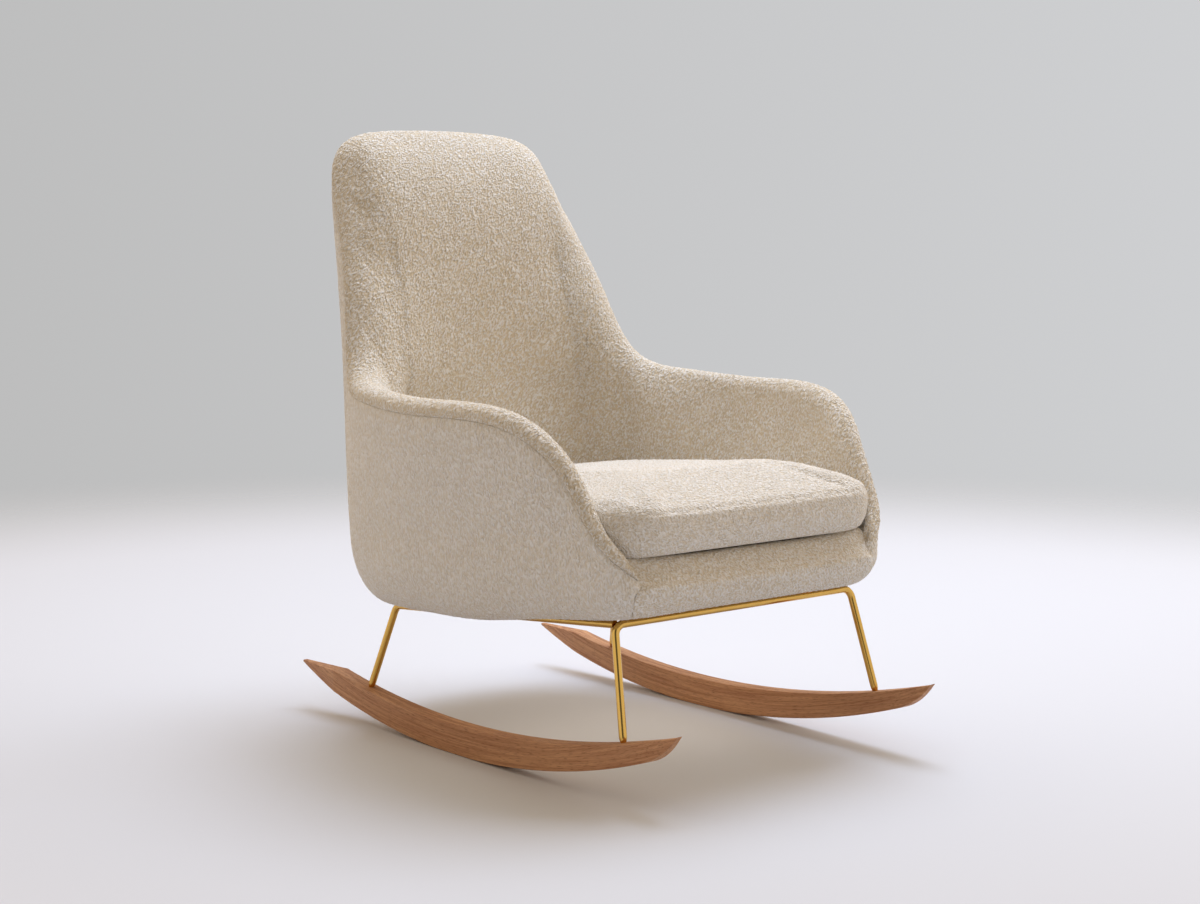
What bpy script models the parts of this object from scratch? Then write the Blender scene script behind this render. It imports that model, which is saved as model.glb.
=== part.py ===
"""Upholstered rocking chair: a padded bucket on a bent-rod base with two crescent wooden rockers.

Lengths are in metres. The chair faces -Y, +Z is up, and the origin is on the floor, midway between the
rocker tips. Left and right are the sitter's own, so left is +X.
"""

import math

import bmesh
import bpy
import numpy as np
from mathutils import Matrix, Vector

# Fits
TOUCH_GAP = 0.0003
BOLT_CLEARANCE = 0.0006

# Rockers
ROCKER_GAUGE = 0.532
ROCKER_THICKNESS = 0.030
ROCKER_RADIUS = 1.440
ROCKER_TOP_RADIUS = 1.890
ROCKER_DEPTH = 0.047
ROCKER_CONTACT_Y = 0.034
ROCKER_TOP_LOW_Y = 0.039
ROCKER_TIP_REACH = 0.490
ROCKER_FLAT = 0.100
ROCKER_FACET = 0.036
ROCKER_PROW_LENGTH = 0.068
ROCKER_REAR_EDGE = 0.004
ROCKER_TIP_WIDTH = 0.009
ROCKER_TAPER_LENGTH = 0.080

# Rod base
ROD_DIAMETER = 0.012
ROD_BEND_RADIUS = 0.018
HOOP_WIDTH = 0.494
HOOP_Y = -0.327
HOOP_TOP_Z = 0.2555
RAIL_SPACING = 0.482
REAR_BEND_Y = 0.242
FRONT_FOOT_Y = -0.369
REAR_FOOT_Y = 0.284
SPIGOT_DIAMETER = 0.008
SPIGOT_LENGTH = 0.012
SPIGOT_TAPER = 0.009
ROD_SIDES_RESOLUTION = 2
BEND_STEPS = 5

# Leg bolts
BOLT_DIAMETER = 0.005
BOLT_HEAD_DIAMETER = 0.009
BOLT_HEAD_HEIGHT = 0.005
BOLT_THREAD_IN_ROD = 0.009
BOLT_WOOD_GRIP = 0.014

# Seat pitch and heights
SEAT_PITCH = math.radians(5.1)
PLATE_THICKNESS = 0.003
DECK_RISE = 0.086

# Bucket: crest of the rim
BACK_HEIGHT = 1.003
BACK_TOP_Y = 0.463
BACK_TOP_WIDTH = 0.370
ARM_ROOT_WIDTH = 0.606
ARM_ROOT_Y = 0.258
ARM_ROOT_HEIGHT = 0.606
ARM_HEIGHT = 0.572
ARM_WIDTH = 0.714
KNEE_WIDTH = 0.636
KNEE_Y = -0.237
FRONT_WIDTH = 0.504
FRONT_CREST_Y = -0.367
FRONT_CREST_HEIGHT = 0.352

# Bucket: widest line of the outside, and the seat deck's outline inside
BELLY_REAR_Y = 0.424
BELLY_WIDTH = 0.684
BELLY_FRONT_Y = -0.388
BELLY_BULGE = 0.016
BULGE_HEIGHT = 0.200
AXIS_SINK = 0.060
RIM_TURN = 0.8
DECK_REAR_Y = 0.272
DECK_WIDTH = 0.524
DECK_FRONT_Y = -0.322
BASE_ROUND_WIDTH = 0.078
BASE_ROUND_HEIGHT = 0.118
BACK_RIM = 0.040
TOP_SIDE_RIM = 0.034
WING_RIM = 0.030
ARM_RIM = 0.046
APRON_RIM = 0.040
SLOPE_RIM = 0.040

# Layers of the bucket
COVER_THICKNESS = 0.0025
CORE_THICKNESS = 0.012
CORE_FOOT_RISE = 0.016
CORE_REACH = 0.40
OUTER_PAD = 0.007
SEAT_BOARD_THICKNESS = 0.018
DUST_COVER_THICKNESS = 0.002
SEAM_ANGLE = math.radians(4)
CREST_SPLIT = math.radians(2)

# Loose cushion
CUSHION_EDGE_HEIGHT = 0.074
CUSHION_CROWN = 0.044
CUSHION_FRONT_Y = -0.384
CUSHION_FRONT_WIDTH = 0.520
CUSHION_CORNER_RADIUS = 0.040
CUSHION_SIDE_GAP = 0.007
CUSHION_REAR_GAP = 0.016
CUSHION_PULL_IN = 0.004
CUSHION_COVER_THICKNESS = 0.003
CUSHION_COLUMNS = 48

# Cushion zip
ZIP_LENGTH = 0.300
ZIP_WIDTH = 0.012
ZIP_TRAVEL_MARGIN = 0.012
SLIDER_LENGTH = 0.012
SLIDER_WIDTH = 0.008
SLIDER_DEPTH = 0.004

# Rod-to-board fixings
PLATE_LENGTH = 0.052
PLATE_WIDTH = 0.024
SCREW_DIAMETER = 0.006
SCREW_HEAD_DIAMETER = 0.011
SCREW_HEAD_HEIGHT = 0.0035
SCREW_LENGTH = 0.016
SCREW_INSET = 0.018
INSERT_DIAMETER = 0.009
INSERT_LENGTH = 0.014
FRONT_PLATE_X = 0.150
REAR_PLATE_Y = 0.150

# Colours as linear red, green, blue, then roughness and metallic
OAK = ((0.262, 0.122, 0.067), 0.45, 0.0)
BRASS = ((0.600, 0.390, 0.120), 0.22, 1.0)
BOUCLE = ((0.730, 0.660, 0.550), 0.95, 0.0)
FOAM = ((0.800, 0.740, 0.520), 0.90, 0.0)
PLYWOOD = ((0.520, 0.360, 0.210), 0.60, 0.0)
STEEL = ((0.420, 0.420, 0.430), 0.35, 1.0)
LINING = ((0.040, 0.038, 0.036), 0.95, 0.0)

SIDES = (("left", 1.0), ("right", -1.0))
ROD_RADIUS = ROD_DIAMETER / 2
PITCH_SLOPE = math.tan(SEAT_PITCH)


def rod_axis_z(y):
    """Height of the rail's and hoop's rod axis at a depth, along the pitched seat frame."""
    return HOOP_TOP_Z - PITCH_SLOPE * (y - HOOP_Y)


def base_z(y):
    """Underside of the bucket and of the dust cover."""
    return rod_axis_z(y) + ROD_RADIUS / math.cos(SEAT_PITCH) + PLATE_THICKNESS + 2 * TOUCH_GAP


def deck_z(y):
    """Top of the seat deck, where the cushion lies."""
    return base_z(y) + DECK_RISE


def rocker_bottom_z(y):
    """Underside of the rocker's arc, which touches the floor at the contact line."""
    reach = y - ROCKER_CONTACT_Y
    return ROCKER_RADIUS - math.sqrt(ROCKER_RADIUS**2 - reach**2)


def rocker_top_z(y):
    """Top edge of the rocker, a flatter arc than its underside."""
    reach = y - ROCKER_TOP_LOW_Y
    return ROCKER_DEPTH + ROCKER_TOP_RADIUS - math.sqrt(ROCKER_TOP_RADIUS**2 - reach**2)


# Scene set-up


def clear_scene():
    for obj in list(bpy.data.objects):
        bpy.data.objects.remove(obj, do_unlink=True)


def new_collection(name):
    collection = bpy.data.collections.new(name)
    bpy.context.scene.collection.children.link(collection)
    return collection


def material(name, finish):
    colour, roughness, metallic = finish
    made = bpy.data.materials.new(name)
    made.use_nodes = True
    shader = made.node_tree.nodes["Principled BSDF"]
    shader.inputs["Base Color"].default_value = (*colour, 1.0)
    shader.inputs["Roughness"].default_value = roughness
    shader.inputs["Metallic"].default_value = metallic
    made.diffuse_color = (*colour, 1.0)
    return made


class Workshop:
    """The collections and the helpers that turn shapes into named pieces."""

    def __init__(self):
        self.parts = new_collection("upholstered_rocking_chair")
        self.cutters = new_collection("cutters")

    def piece(self, name, mesh, finish):
        obj = bpy.data.objects.new(name, mesh)
        mesh.materials.clear()
        mesh.materials.append(material(name, finish))
        self.parts.objects.link(obj)
        return obj

    def cutter(self, name, mesh):
        obj = bpy.data.objects.new(name, mesh)
        obj.hide_render = True
        obj.display_type = "WIRE"
        self.cutters.objects.link(obj)
        return obj

    def cut(self, target, cutters):
        for number, cutter in enumerate(cutters):
            modifier = target.modifiers.new(f"cut_{number}", "BOOLEAN")
            modifier.operation = "DIFFERENCE"
            modifier.solver = "EXACT"
            modifier.object = cutter


def mesh_from_curve(curve):
    """A curve's evaluated surface as a mesh with its caps welded on."""
    holder = bpy.data.objects.new("outline", curve)
    bpy.context.scene.collection.objects.link(holder)
    graph = bpy.context.evaluated_depsgraph_get()
    mesh = bpy.data.meshes.new_from_object(holder.evaluated_get(graph))
    bpy.data.objects.remove(holder, do_unlink=True)
    shape = bmesh.new()
    shape.from_mesh(mesh)
    bmesh.ops.remove_doubles(shape, verts=shape.verts, dist=1e-6)
    shape.to_mesh(mesh)
    shape.free()
    return mesh


def finish_mesh(shape, name):
    bmesh.ops.recalc_face_normals(shape, faces=shape.faces)
    mesh = bpy.data.meshes.new(name)
    shape.to_mesh(mesh)
    shape.free()
    return mesh


def cylinder_mesh(name, radius, start, end, sides=24, end_radius=None):
    """A straight round bar from one point to another, or a cone where the end radius differs."""
    start = Vector(start)
    along = Vector(end) - start
    turn = along.to_track_quat("Z", "Y").to_matrix().to_4x4()
    shape = bmesh.new()
    bmesh.ops.create_cone(
        shape,
        cap_ends=True,
        segments=sides,
        radius1=radius,
        radius2=radius if end_radius is None else end_radius,
        depth=along.length,
        matrix=Matrix.Translation(start + along / 2) @ turn,
    )
    return finish_mesh(shape, name)


def turned_mesh(name, profile, start, direction, sides=20):
    """A profile of (radius, height) points, open at both ends or closed on itself, turned about an axis."""
    turn = Vector(direction).to_track_quat("Z", "Y").to_matrix().to_4x4()
    place = Matrix.Translation(Vector(start)) @ turn
    shape = bmesh.new()
    rings = []
    for radius, height in profile:
        angles = [2 * math.pi * step / sides for step in range(sides)]
        rings.append(
            [shape.verts.new(place @ Vector((radius * math.cos(a), radius * math.sin(a), height))) for a in angles]
        )
    for lower, upper in zip(rings, rings[1:] + rings[:1]):
        for step in range(sides):
            follow = (step + 1) % sides
            shape.faces.new((lower[step], lower[follow], upper[follow], upper[step]))
    return finish_mesh(shape, name)


def headed_bolt_mesh(name, seat, direction, head, shank, sides=20):
    """A bolt whose head lies below the seat point and whose shank runs on along the direction."""
    head_diameter, head_height = head
    diameter, length = shank
    turn = Vector(direction).to_track_quat("Z", "Y").to_matrix().to_4x4()
    place = Matrix.Translation(Vector(seat)) @ turn
    profile = (
        (head_diameter / 2, -head_height),
        (head_diameter / 2, 0.0),
        (diameter / 2, 0.0),
        (diameter / 2, length),
    )
    shape = bmesh.new()
    rings = []
    for radius, height in profile:
        angles = [2 * math.pi * step / sides for step in range(sides)]
        rings.append(
            [shape.verts.new(place @ Vector((radius * math.cos(a), radius * math.sin(a), height))) for a in angles]
        )
    for lower, upper in zip(rings, rings[1:]):
        for step in range(sides):
            follow = (step + 1) % sides
            shape.faces.new((lower[step], lower[follow], upper[follow], upper[step]))
    shape.faces.new(rings[0])
    shape.faces.new(rings[-1])
    return finish_mesh(shape, name)


# Rockers


def rocker_outline():
    """Side view of a rocker as (y, z) points: underside, prow, top edge and the level cut at the rear."""
    rear, front = ROCKER_TIP_REACH, -ROCKER_TIP_REACH
    flat_angle = ROCKER_FLAT / 2 / ROCKER_RADIUS
    facet_angle = ROCKER_FACET / ROCKER_RADIUS
    lift = ROCKER_RADIUS * (1 - math.cos(flat_angle))
    prow_start = front + ROCKER_PROW_LENGTH
    steps = int(2 * ROCKER_TIP_REACH / ROCKER_FACET)
    rearward = [flat_angle + facet_angle * step for step in range(steps)]
    angles = [-angle for angle in reversed(rearward)] + rearward
    arc = [(ROCKER_CONTACT_Y + ROCKER_RADIUS * math.sin(a), ROCKER_RADIUS * (1 - math.cos(a)) - lift) for a in angles]
    underside = [point for point in arc if prow_start < point[0] < rear - ROCKER_FACET / 4]
    rear_tip_z = rocker_bottom_z(rear) - lift
    cut_z = rear_tip_z + ROCKER_REAR_EDGE
    shoulder_reach = math.sqrt(2 * ROCKER_TOP_RADIUS * (cut_z - ROCKER_DEPTH))
    shoulder = ROCKER_TOP_LOW_Y + shoulder_reach
    start = Vector((prow_start, rocker_bottom_z(prow_start) - lift))
    tip = Vector((front, rocker_top_z(front)))
    slope = (prow_start - ROCKER_CONTACT_Y) / ROCKER_RADIUS
    bend = Vector((front + ROCKER_PROW_LENGTH * 0.40, start.y - slope * ROCKER_PROW_LENGTH * 0.60))
    prow = []
    for step in range(4):
        share = step / 4
        prow.append(tuple(start * (1 - share) ** 2 + bend * 2 * share * (1 - share) + tip * share**2))
    top_steps = 12
    top = []
    for step in range(top_steps + 1):
        y = front + (shoulder - front) * step / top_steps
        z = rocker_top_z(y) if step < top_steps else cut_z
        top.append((y, z))
    return list(reversed(underside)) + prow + top + [(rear, cut_z), (rear, rear_tip_z)], shoulder


def rocker_mesh(name, x):
    points, shoulder = rocker_outline()
    curve = bpy.data.curves.new(name, "CURVE")
    curve.dimensions = "2D"
    curve.fill_mode = "BOTH"
    curve.extrude = ROCKER_THICKNESS / 2
    spline = curve.splines.new("POLY")
    spline.points.add(len(points) - 1)
    for point, (y, z) in zip(spline.points, points):
        point.co = (y, z, 0.0, 1.0)
    spline.use_cyclic_u = True
    mesh = mesh_from_curve(curve)
    side_view = Matrix(((0, 0, 1, x), (1, 0, 0, 0), (0, 1, 0, 0), (0, 0, 0, 1)))
    mesh.transform(side_view)
    tip_share = ROCKER_TIP_WIDTH / ROCKER_THICKNESS
    for vertex in mesh.vertices:
        rear_past = (vertex.co.y - shoulder) / (ROCKER_TIP_REACH - shoulder)
        front_past = 1 - (vertex.co.y + ROCKER_TIP_REACH) / ROCKER_TAPER_LENGTH
        past = max(rear_past, front_past, 0.0)
        vertex.co.x = x + (vertex.co.x - x) * (1 + (tip_share - 1) * past)
    return mesh


# Rod base


def rounded_path(corners, radius, steps):
    """Straight runs through the corners, joined by arcs of one bend radius."""
    corners = [Vector(corner) for corner in corners]
    path = [corners[0]]
    for before, corner, after in zip(corners, corners[1:], corners[2:]):
        inward = (before - corner).normalized()
        outward = (after - corner).normalized()
        half = inward.angle(outward) / 2
        trim = radius / math.tan(half)
        centre = corner + (inward + outward).normalized() * radius / math.sin(half)
        first = corner + inward * trim - centre
        last = corner + outward * trim - centre
        turn = first.angle(last)
        for step in range(steps + 1):
            share = step / steps
            weight_first = math.sin((1 - share) * turn) / math.sin(turn)
            weight_last = math.sin(share * turn) / math.sin(turn)
            path.append(centre + first * weight_first + last * weight_last)
    path.append(corners[-1])
    return path


def rod_mesh(name, path, slim_start=False, slim_end=False):
    """A round rod along a path, with a tapered spigot where an end enters a rocker."""
    points = [(point, 1.0) for point in path]
    slim = SPIGOT_DIAMETER / ROD_DIAMETER

    def spigot(foot, inner):
        along = (foot - inner).normalized()
        return [
            (foot - along * (SPIGOT_LENGTH + SPIGOT_TAPER), 1.0),
            (foot - along * SPIGOT_LENGTH, slim),
            (foot, slim),
        ]

    if slim_end:
        points = points[:-1] + spigot(path[-1], path[-2])
    if slim_start:
        points = list(reversed(spigot(path[0], path[1]))) + points[1:]
    curve = bpy.data.curves.new(name, "CURVE")
    curve.dimensions = "3D"
    curve.bevel_depth = ROD_RADIUS
    curve.bevel_resolution = ROD_SIDES_RESOLUTION
    curve.use_fill_caps = True
    spline = curve.splines.new("POLY")
    spline.points.add(len(points) - 1)
    for point, (place, radius) in zip(spline.points, points):
        point.co = (*place, 1.0)
        point.radius = radius
    return mesh_from_curve(curve)


class Leg:
    """One leg's line from its bend down to the rocker, and the bolt that holds it there."""

    def __init__(self, name, side, bend, foot_y):
        self.name = name
        self.bend = Vector(bend)
        self.foot = Vector((side * ROCKER_GAUGE / 2, foot_y, rocker_top_z(foot_y)))
        self.along = (self.foot - self.bend).normalized()
        self.end = self.foot + self.along * SPIGOT_LENGTH
        self.head_seat = self.end + self.along * BOLT_WOOD_GRIP

    def rod_bore(self, shop):
        start = self.end + self.along * TOUCH_GAP
        stop = self.end - self.along * (BOLT_THREAD_IN_ROD + BOLT_CLEARANCE)
        radius = BOLT_DIAMETER / 2 + TOUCH_GAP
        return shop.cutter(f"{self.name}_rod_bore", cylinder_mesh(f"{self.name}_rod_bore", radius, start, stop))

    def rocker_bores(self, shop):
        through = self.along * (ROCKER_DEPTH * 2)
        socket = (SPIGOT_DIAMETER / 2 + TOUCH_GAP, self.foot - self.along * SPIGOT_LENGTH, self.end)
        shank = (BOLT_DIAMETER / 2 + TOUCH_GAP, self.foot, self.foot + through)
        recess = (BOLT_HEAD_DIAMETER / 2 + BOLT_CLEARANCE, self.head_seat, self.head_seat + through)
        made = []
        for label, (radius, start, stop) in (("socket", socket), ("shank", shank), ("recess", recess)):
            name = f"{self.name}_{label}"
            stop = stop + self.along * (TOUCH_GAP if label == "socket" else 0.0)
            made.append(shop.cutter(name, cylinder_mesh(name, radius, start, stop)))
        return made

    def bolt_mesh(self):
        seat = self.head_seat + self.along * TOUCH_GAP
        reach = BOLT_WOOD_GRIP + BOLT_THREAD_IN_ROD
        return headed_bolt_mesh(
            f"leg_bolt_{self.name}",
            seat,
            -self.along,
            (BOLT_HEAD_DIAMETER, BOLT_HEAD_HEIGHT),
            (BOLT_DIAMETER, reach),
        )


def build_base(shop):
    half_hoop = HOOP_WIDTH / 2
    half_rail = RAIL_SPACING / 2
    rail_front = HOOP_Y + ROD_RADIUS + 2 * TOUCH_GAP
    front_legs = {}
    for side_name, side in SIDES:
        front = Leg(f"front_{side_name}", side, (side * half_hoop, HOOP_Y, HOOP_TOP_Z), FRONT_FOOT_Y)
        bend = (side * half_rail, REAR_BEND_Y, rod_axis_z(REAR_BEND_Y))
        rear = Leg(f"rear_{side_name}", side, bend, REAR_FOOT_Y)
        front_legs[side_name] = front
        rail_start = (side * half_rail, rail_front, rod_axis_z(rail_front))
        path = rounded_path([rail_start, bend, rear.end], ROD_BEND_RADIUS, BEND_STEPS)
        name = f"side_rod_{side_name}"
        rod = shop.piece(name, rod_mesh(name, path, slim_end=True), BRASS)
        shop.cut(rod, [rear.rod_bore(shop)])
        name = f"rocker_{side_name}"
        rocker = shop.piece(name, rocker_mesh(name, side * ROCKER_GAUGE / 2), OAK)
        shop.cut(rocker, front.rocker_bores(shop) + rear.rocker_bores(shop))
        for leg in (front, rear):
            shop.piece(f"leg_bolt_{leg.name}", leg.bolt_mesh(), STEEL)
    left, right = front_legs["left"], front_legs["right"]
    path = rounded_path([left.end, left.bend, right.bend, right.end], ROD_BEND_RADIUS, BEND_STEPS)
    hoop = shop.piece("front_hoop", rod_mesh("front_hoop", path, slim_start=True, slim_end=True), BRASS)
    shop.cut(hoop, [left.rod_bore(shop), right.rod_bore(shop)])


# Bucket shape


def mix(first, second, share):
    return tuple(a + (b - a) * share for a, b in zip(first, second))


def rim_stations():
    """Half of the bucket's girth, from the middle of the back to the middle of the apron.

    Each station holds the crest of the rim, the belly of the outside, the outline of the deck and the
    thickness of the rim there.
    """
    top_half, root_half = BACK_TOP_WIDTH / 2, ARM_ROOT_WIDTH / 2
    arm_half, knee_half, front_half = ARM_WIDTH / 2, KNEE_WIDTH / 2, FRONT_WIDTH / 2
    belly_half, deck_half = BELLY_WIDTH / 2, DECK_WIDTH / 2
    top_corner = (top_half, BACK_TOP_Y - 0.006, BACK_HEIGHT - 0.018)
    top_side = (top_half + 0.033, BACK_TOP_Y - 0.021, BACK_HEIGHT - 0.050)
    arm_root = (root_half, ARM_ROOT_Y, ARM_ROOT_HEIGHT)
    knee = (knee_half, KNEE_Y, ARM_HEIGHT - 0.030)
    corner = (front_half, FRONT_CREST_Y + 0.005, FRONT_CREST_HEIGHT + 0.006)
    slope_mid = mix(knee, corner, 0.36)
    slope_low = mix(knee, corner, 0.76)
    return [
        ((0.0, BACK_TOP_Y, BACK_HEIGHT), (0.0, BELLY_REAR_Y), (0.0, DECK_REAR_Y), BACK_RIM),
        ((top_half * 0.6, BACK_TOP_Y - 0.001, BACK_HEIGHT - 0.003), (0.100, BELLY_REAR_Y - 0.004),
         (0.085, DECK_REAR_Y - 0.001), BACK_RIM),
        (top_corner, (0.172, BELLY_REAR_Y - 0.017), (0.145, DECK_REAR_Y - 0.007), BACK_RIM),
        (top_side, (0.215, BELLY_REAR_Y - 0.036), (0.180, DECK_REAR_Y - 0.018), TOP_SIDE_RIM),
        (mix(top_side, arm_root, 0.20), (0.250, BELLY_REAR_Y - 0.062), (0.206, DECK_REAR_Y - 0.034), WING_RIM),
        (mix(top_side, arm_root, 0.62), (belly_half - 0.059, BELLY_REAR_Y - 0.110),
         (deck_half - 0.030, DECK_REAR_Y - 0.068), WING_RIM),
        (arm_root, (belly_half - 0.026, BELLY_REAR_Y - 0.180), (deck_half - 0.012, DECK_REAR_Y - 0.120), ARM_RIM),
        ((arm_half - 0.018, ARM_ROOT_Y - 0.098, ARM_HEIGHT + 0.007), (belly_half - 0.006, BELLY_REAR_Y - 0.280),
         (deck_half - 0.002, DECK_REAR_Y - 0.200), ARM_RIM),
        ((arm_half, 0.010, ARM_HEIGHT), (belly_half, 0.010), (deck_half, -0.020), ARM_RIM),
        ((arm_half - 0.014, -0.150, ARM_HEIGHT - 0.002), (belly_half - 0.010, -0.130), (deck_half - 0.001, -0.120),
         ARM_RIM),
        (knee, (belly_half - 0.024, -0.220), (deck_half - 0.005, -0.185), ARM_RIM),
        ((slope_mid[0] - 0.002, slope_mid[1] - 0.012, slope_mid[2] + 0.006), (belly_half - 0.040, -0.290),
         (deck_half - 0.011, -0.245), ARM_RIM),
        ((slope_low[0] + 0.012, slope_low[1] - 0.010, slope_low[2] - 0.002), (belly_half - 0.056, -0.346),
         (deck_half - 0.020, -0.290), SLOPE_RIM),
        (corner, (front_half + 0.002, BELLY_FRONT_Y + 0.007), (front_half - 0.034, DECK_FRONT_Y + 0.003), APRON_RIM),
        ((front_half * 0.5, FRONT_CREST_Y, FRONT_CREST_HEIGHT), (front_half * 0.5, BELLY_FRONT_Y),
         (front_half * 0.5, DECK_FRONT_Y), APRON_RIM),
        ((0.0, FRONT_CREST_Y, FRONT_CREST_HEIGHT), (0.0, BELLY_FRONT_Y), (0.0, DECK_FRONT_Y), APRON_RIM),
    ]


APRON_STATION = 13


class RingSpline:
    """A smooth closed curve through stations, one cubic between each pair."""

    def __init__(self, knots, values):
        self.knots = np.asarray(knots, float)
        self.values = np.asarray(values, float)
        count = len(values)
        spans = np.diff(self.knots)
        slopes = (np.roll(self.values, -1, axis=0) - self.values) / spans[:, None]
        system = np.zeros((count, count))
        for row in range(count):
            system[row, row - 1] += spans[row - 1]
            system[row, row] += 2 * (spans[row - 1] + spans[row])
            system[row, (row + 1) % count] += spans[row]
        change = 6 * (slopes - np.roll(slopes, 1, axis=0))
        self.bends = np.linalg.solve(system, change)
        self.spans = spans

    def at(self, place):
        total = self.knots[-1]
        place = place % total
        row = min(int(np.searchsorted(self.knots, place, side="right")) - 1, len(self.values) - 1)
        follow = (row + 1) % len(self.values)
        span = self.spans[row]
        after = (place - self.knots[row]) / span
        before = 1 - after
        straight = before * self.values[row] + after * self.values[follow]
        bend = (before**3 - before) * self.bends[row] + (after**3 - after) * self.bends[follow]
        return straight + bend * span**2 / 6


def unit(vector):
    return vector / np.linalg.norm(vector)


def bezier(first, control, last, share):
    return first * (1 - share) ** 2 + control * 2 * share * (1 - share) + last * share**2


class Section:
    """One vertical slice through the bucket's wall: its outside, its rim, its inside and its core."""

    shares = (0.0, 0.15, 0.30, 0.45, 0.60, 0.80, 1.0)

    def __init__(self, crest, belly, deck, rim, tangent):
        crest, tangent = np.asarray(crest), np.asarray(tangent)
        half = rim / 2
        up = np.array([0.0, 0.0, 1.0])
        outward = np.array([belly[0] - deck[0], belly[1] - deck[1], 0.0])
        width = np.linalg.norm(outward)
        outward = outward / width
        foot_out = np.array([belly[0], belly[1], base_z(belly[1])])
        foot_in = np.array([deck[0], deck[1], base_z(deck[1])])
        deck_in = np.array([deck[0], deck[1], deck_z(deck[1])])
        round_height = min(BASE_ROUND_HEIGHT, 0.62 * (crest[2] - foot_out[2]))
        round_width = min(BASE_ROUND_WIDTH, 0.80 * width)
        belly_top = foot_out + up * round_height
        axis = unit(crest - (deck_in + belly_top) / 2 + up * AXIS_SINK)
        across = np.array([tangent[1], -tangent[0], 0.0])
        if across @ outward < 0:
            across = -across
        across = unit(across) + outward * RIM_TURN
        across = unit(across - (across @ axis) * axis)
        drop = half / max(np.linalg.norm(np.cross(axis, tangent)), 0.35)
        self.middle = crest - axis * drop
        self.axis, self.across, self.half, self.drop = axis, across, half, drop
        self.outward = outward
        shoulder_out = self.middle + across * half
        shoulder_in = self.middle - across * half
        deck_in[2] = min(deck_in[2], shoulder_in[2] - TOUCH_GAP)
        foot_edge = foot_out - outward * round_width
        foot_edge[2] = base_z(foot_edge[1])
        rounding = []
        for turn in (math.radians(30), math.radians(60)):
            inset = outward * round_width * (1 - math.sin(turn))
            rounding.append(foot_out - inset + up * round_height * (1 - math.cos(turn)))
        bulge = BELLY_BULGE * min(1.0, (shoulder_out[2] - belly_top[2]) / BULGE_HEIGHT)
        control = (belly_top + shoulder_out) / 2 + outward * bulge
        swell = bezier(belly_top, control, shoulder_out, 0.5)
        self.outside = [foot_in, foot_edge, *rounding, belly_top, swell, shoulder_out]
        self.inside = [deck_in + (shoulder_in - deck_in) * share for share in self.shares]
        self.core_foot = foot_in + up * CORE_FOOT_RISE
        self.core_bend = foot_in + outward * width * CORE_REACH + up * (CORE_FOOT_RISE + round_height * 0.10)
        self.core_top = self.middle - axis * CORE_THICKNESS

    def frame(self, share):
        """The slice's own outward and upward directions at a share of the wall's height."""
        sideways = unit(self.outward * (1 - share) + self.across * share)
        upward = unit(np.array([0.0, 0.0, 1 - share]) + self.axis * share)
        return sideways, upward

    def rim_point(self, angle, depth=0.0):
        """A point of the rounded rim: 0 is the outer shoulder, a half turn is the inner one."""
        sideways = self.across * self.half * math.cos(angle)
        offset = sideways + self.axis * self.drop * math.sin(angle)
        return self.middle + offset - unit(offset) * depth

    def sunk(self, side, depth):
        """The outside (side 1) or the inside (side -1) moved square into the wall."""
        points = self.outside if side > 0 else self.inside
        shoulder = self.rim_point(math.pi / 2 - side * math.pi / 4)
        chain = list(points) + [shoulder]
        moved = [points[0] + np.array([0.0, 0.0, depth * side])]
        for before, point, after, share in zip(chain, chain[1:], chain[2:], self.shares[1:]):
            sideways, upward = self.frame(share)
            into = []
            for run in (point - before, after - point):
                into.append(unit(sideways * -side * (run @ upward) + upward * side * (run @ sideways)))
            lean = unit(into[0] + into[1])
            moved.append(point + lean * depth / max(lean @ into[0], 0.5))
        return moved

    def core_side(self, side, depth):
        """The core's outer side (side 1) or inner side (side -1)."""
        foot = self.core_foot - np.array([0.0, 0.0, depth * side])
        points = [foot]
        for share in self.shares[1:]:
            sideways, upward = self.frame(share)
            run = (self.core_bend - self.core_foot) * (1 - share) + (self.core_top - self.core_bend) * share
            out = unit(sideways * (run @ upward) - upward * (run @ sideways))
            points.append(bezier(self.core_foot, self.core_bend, self.core_top, share) + out * side * depth)
        return points


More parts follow.
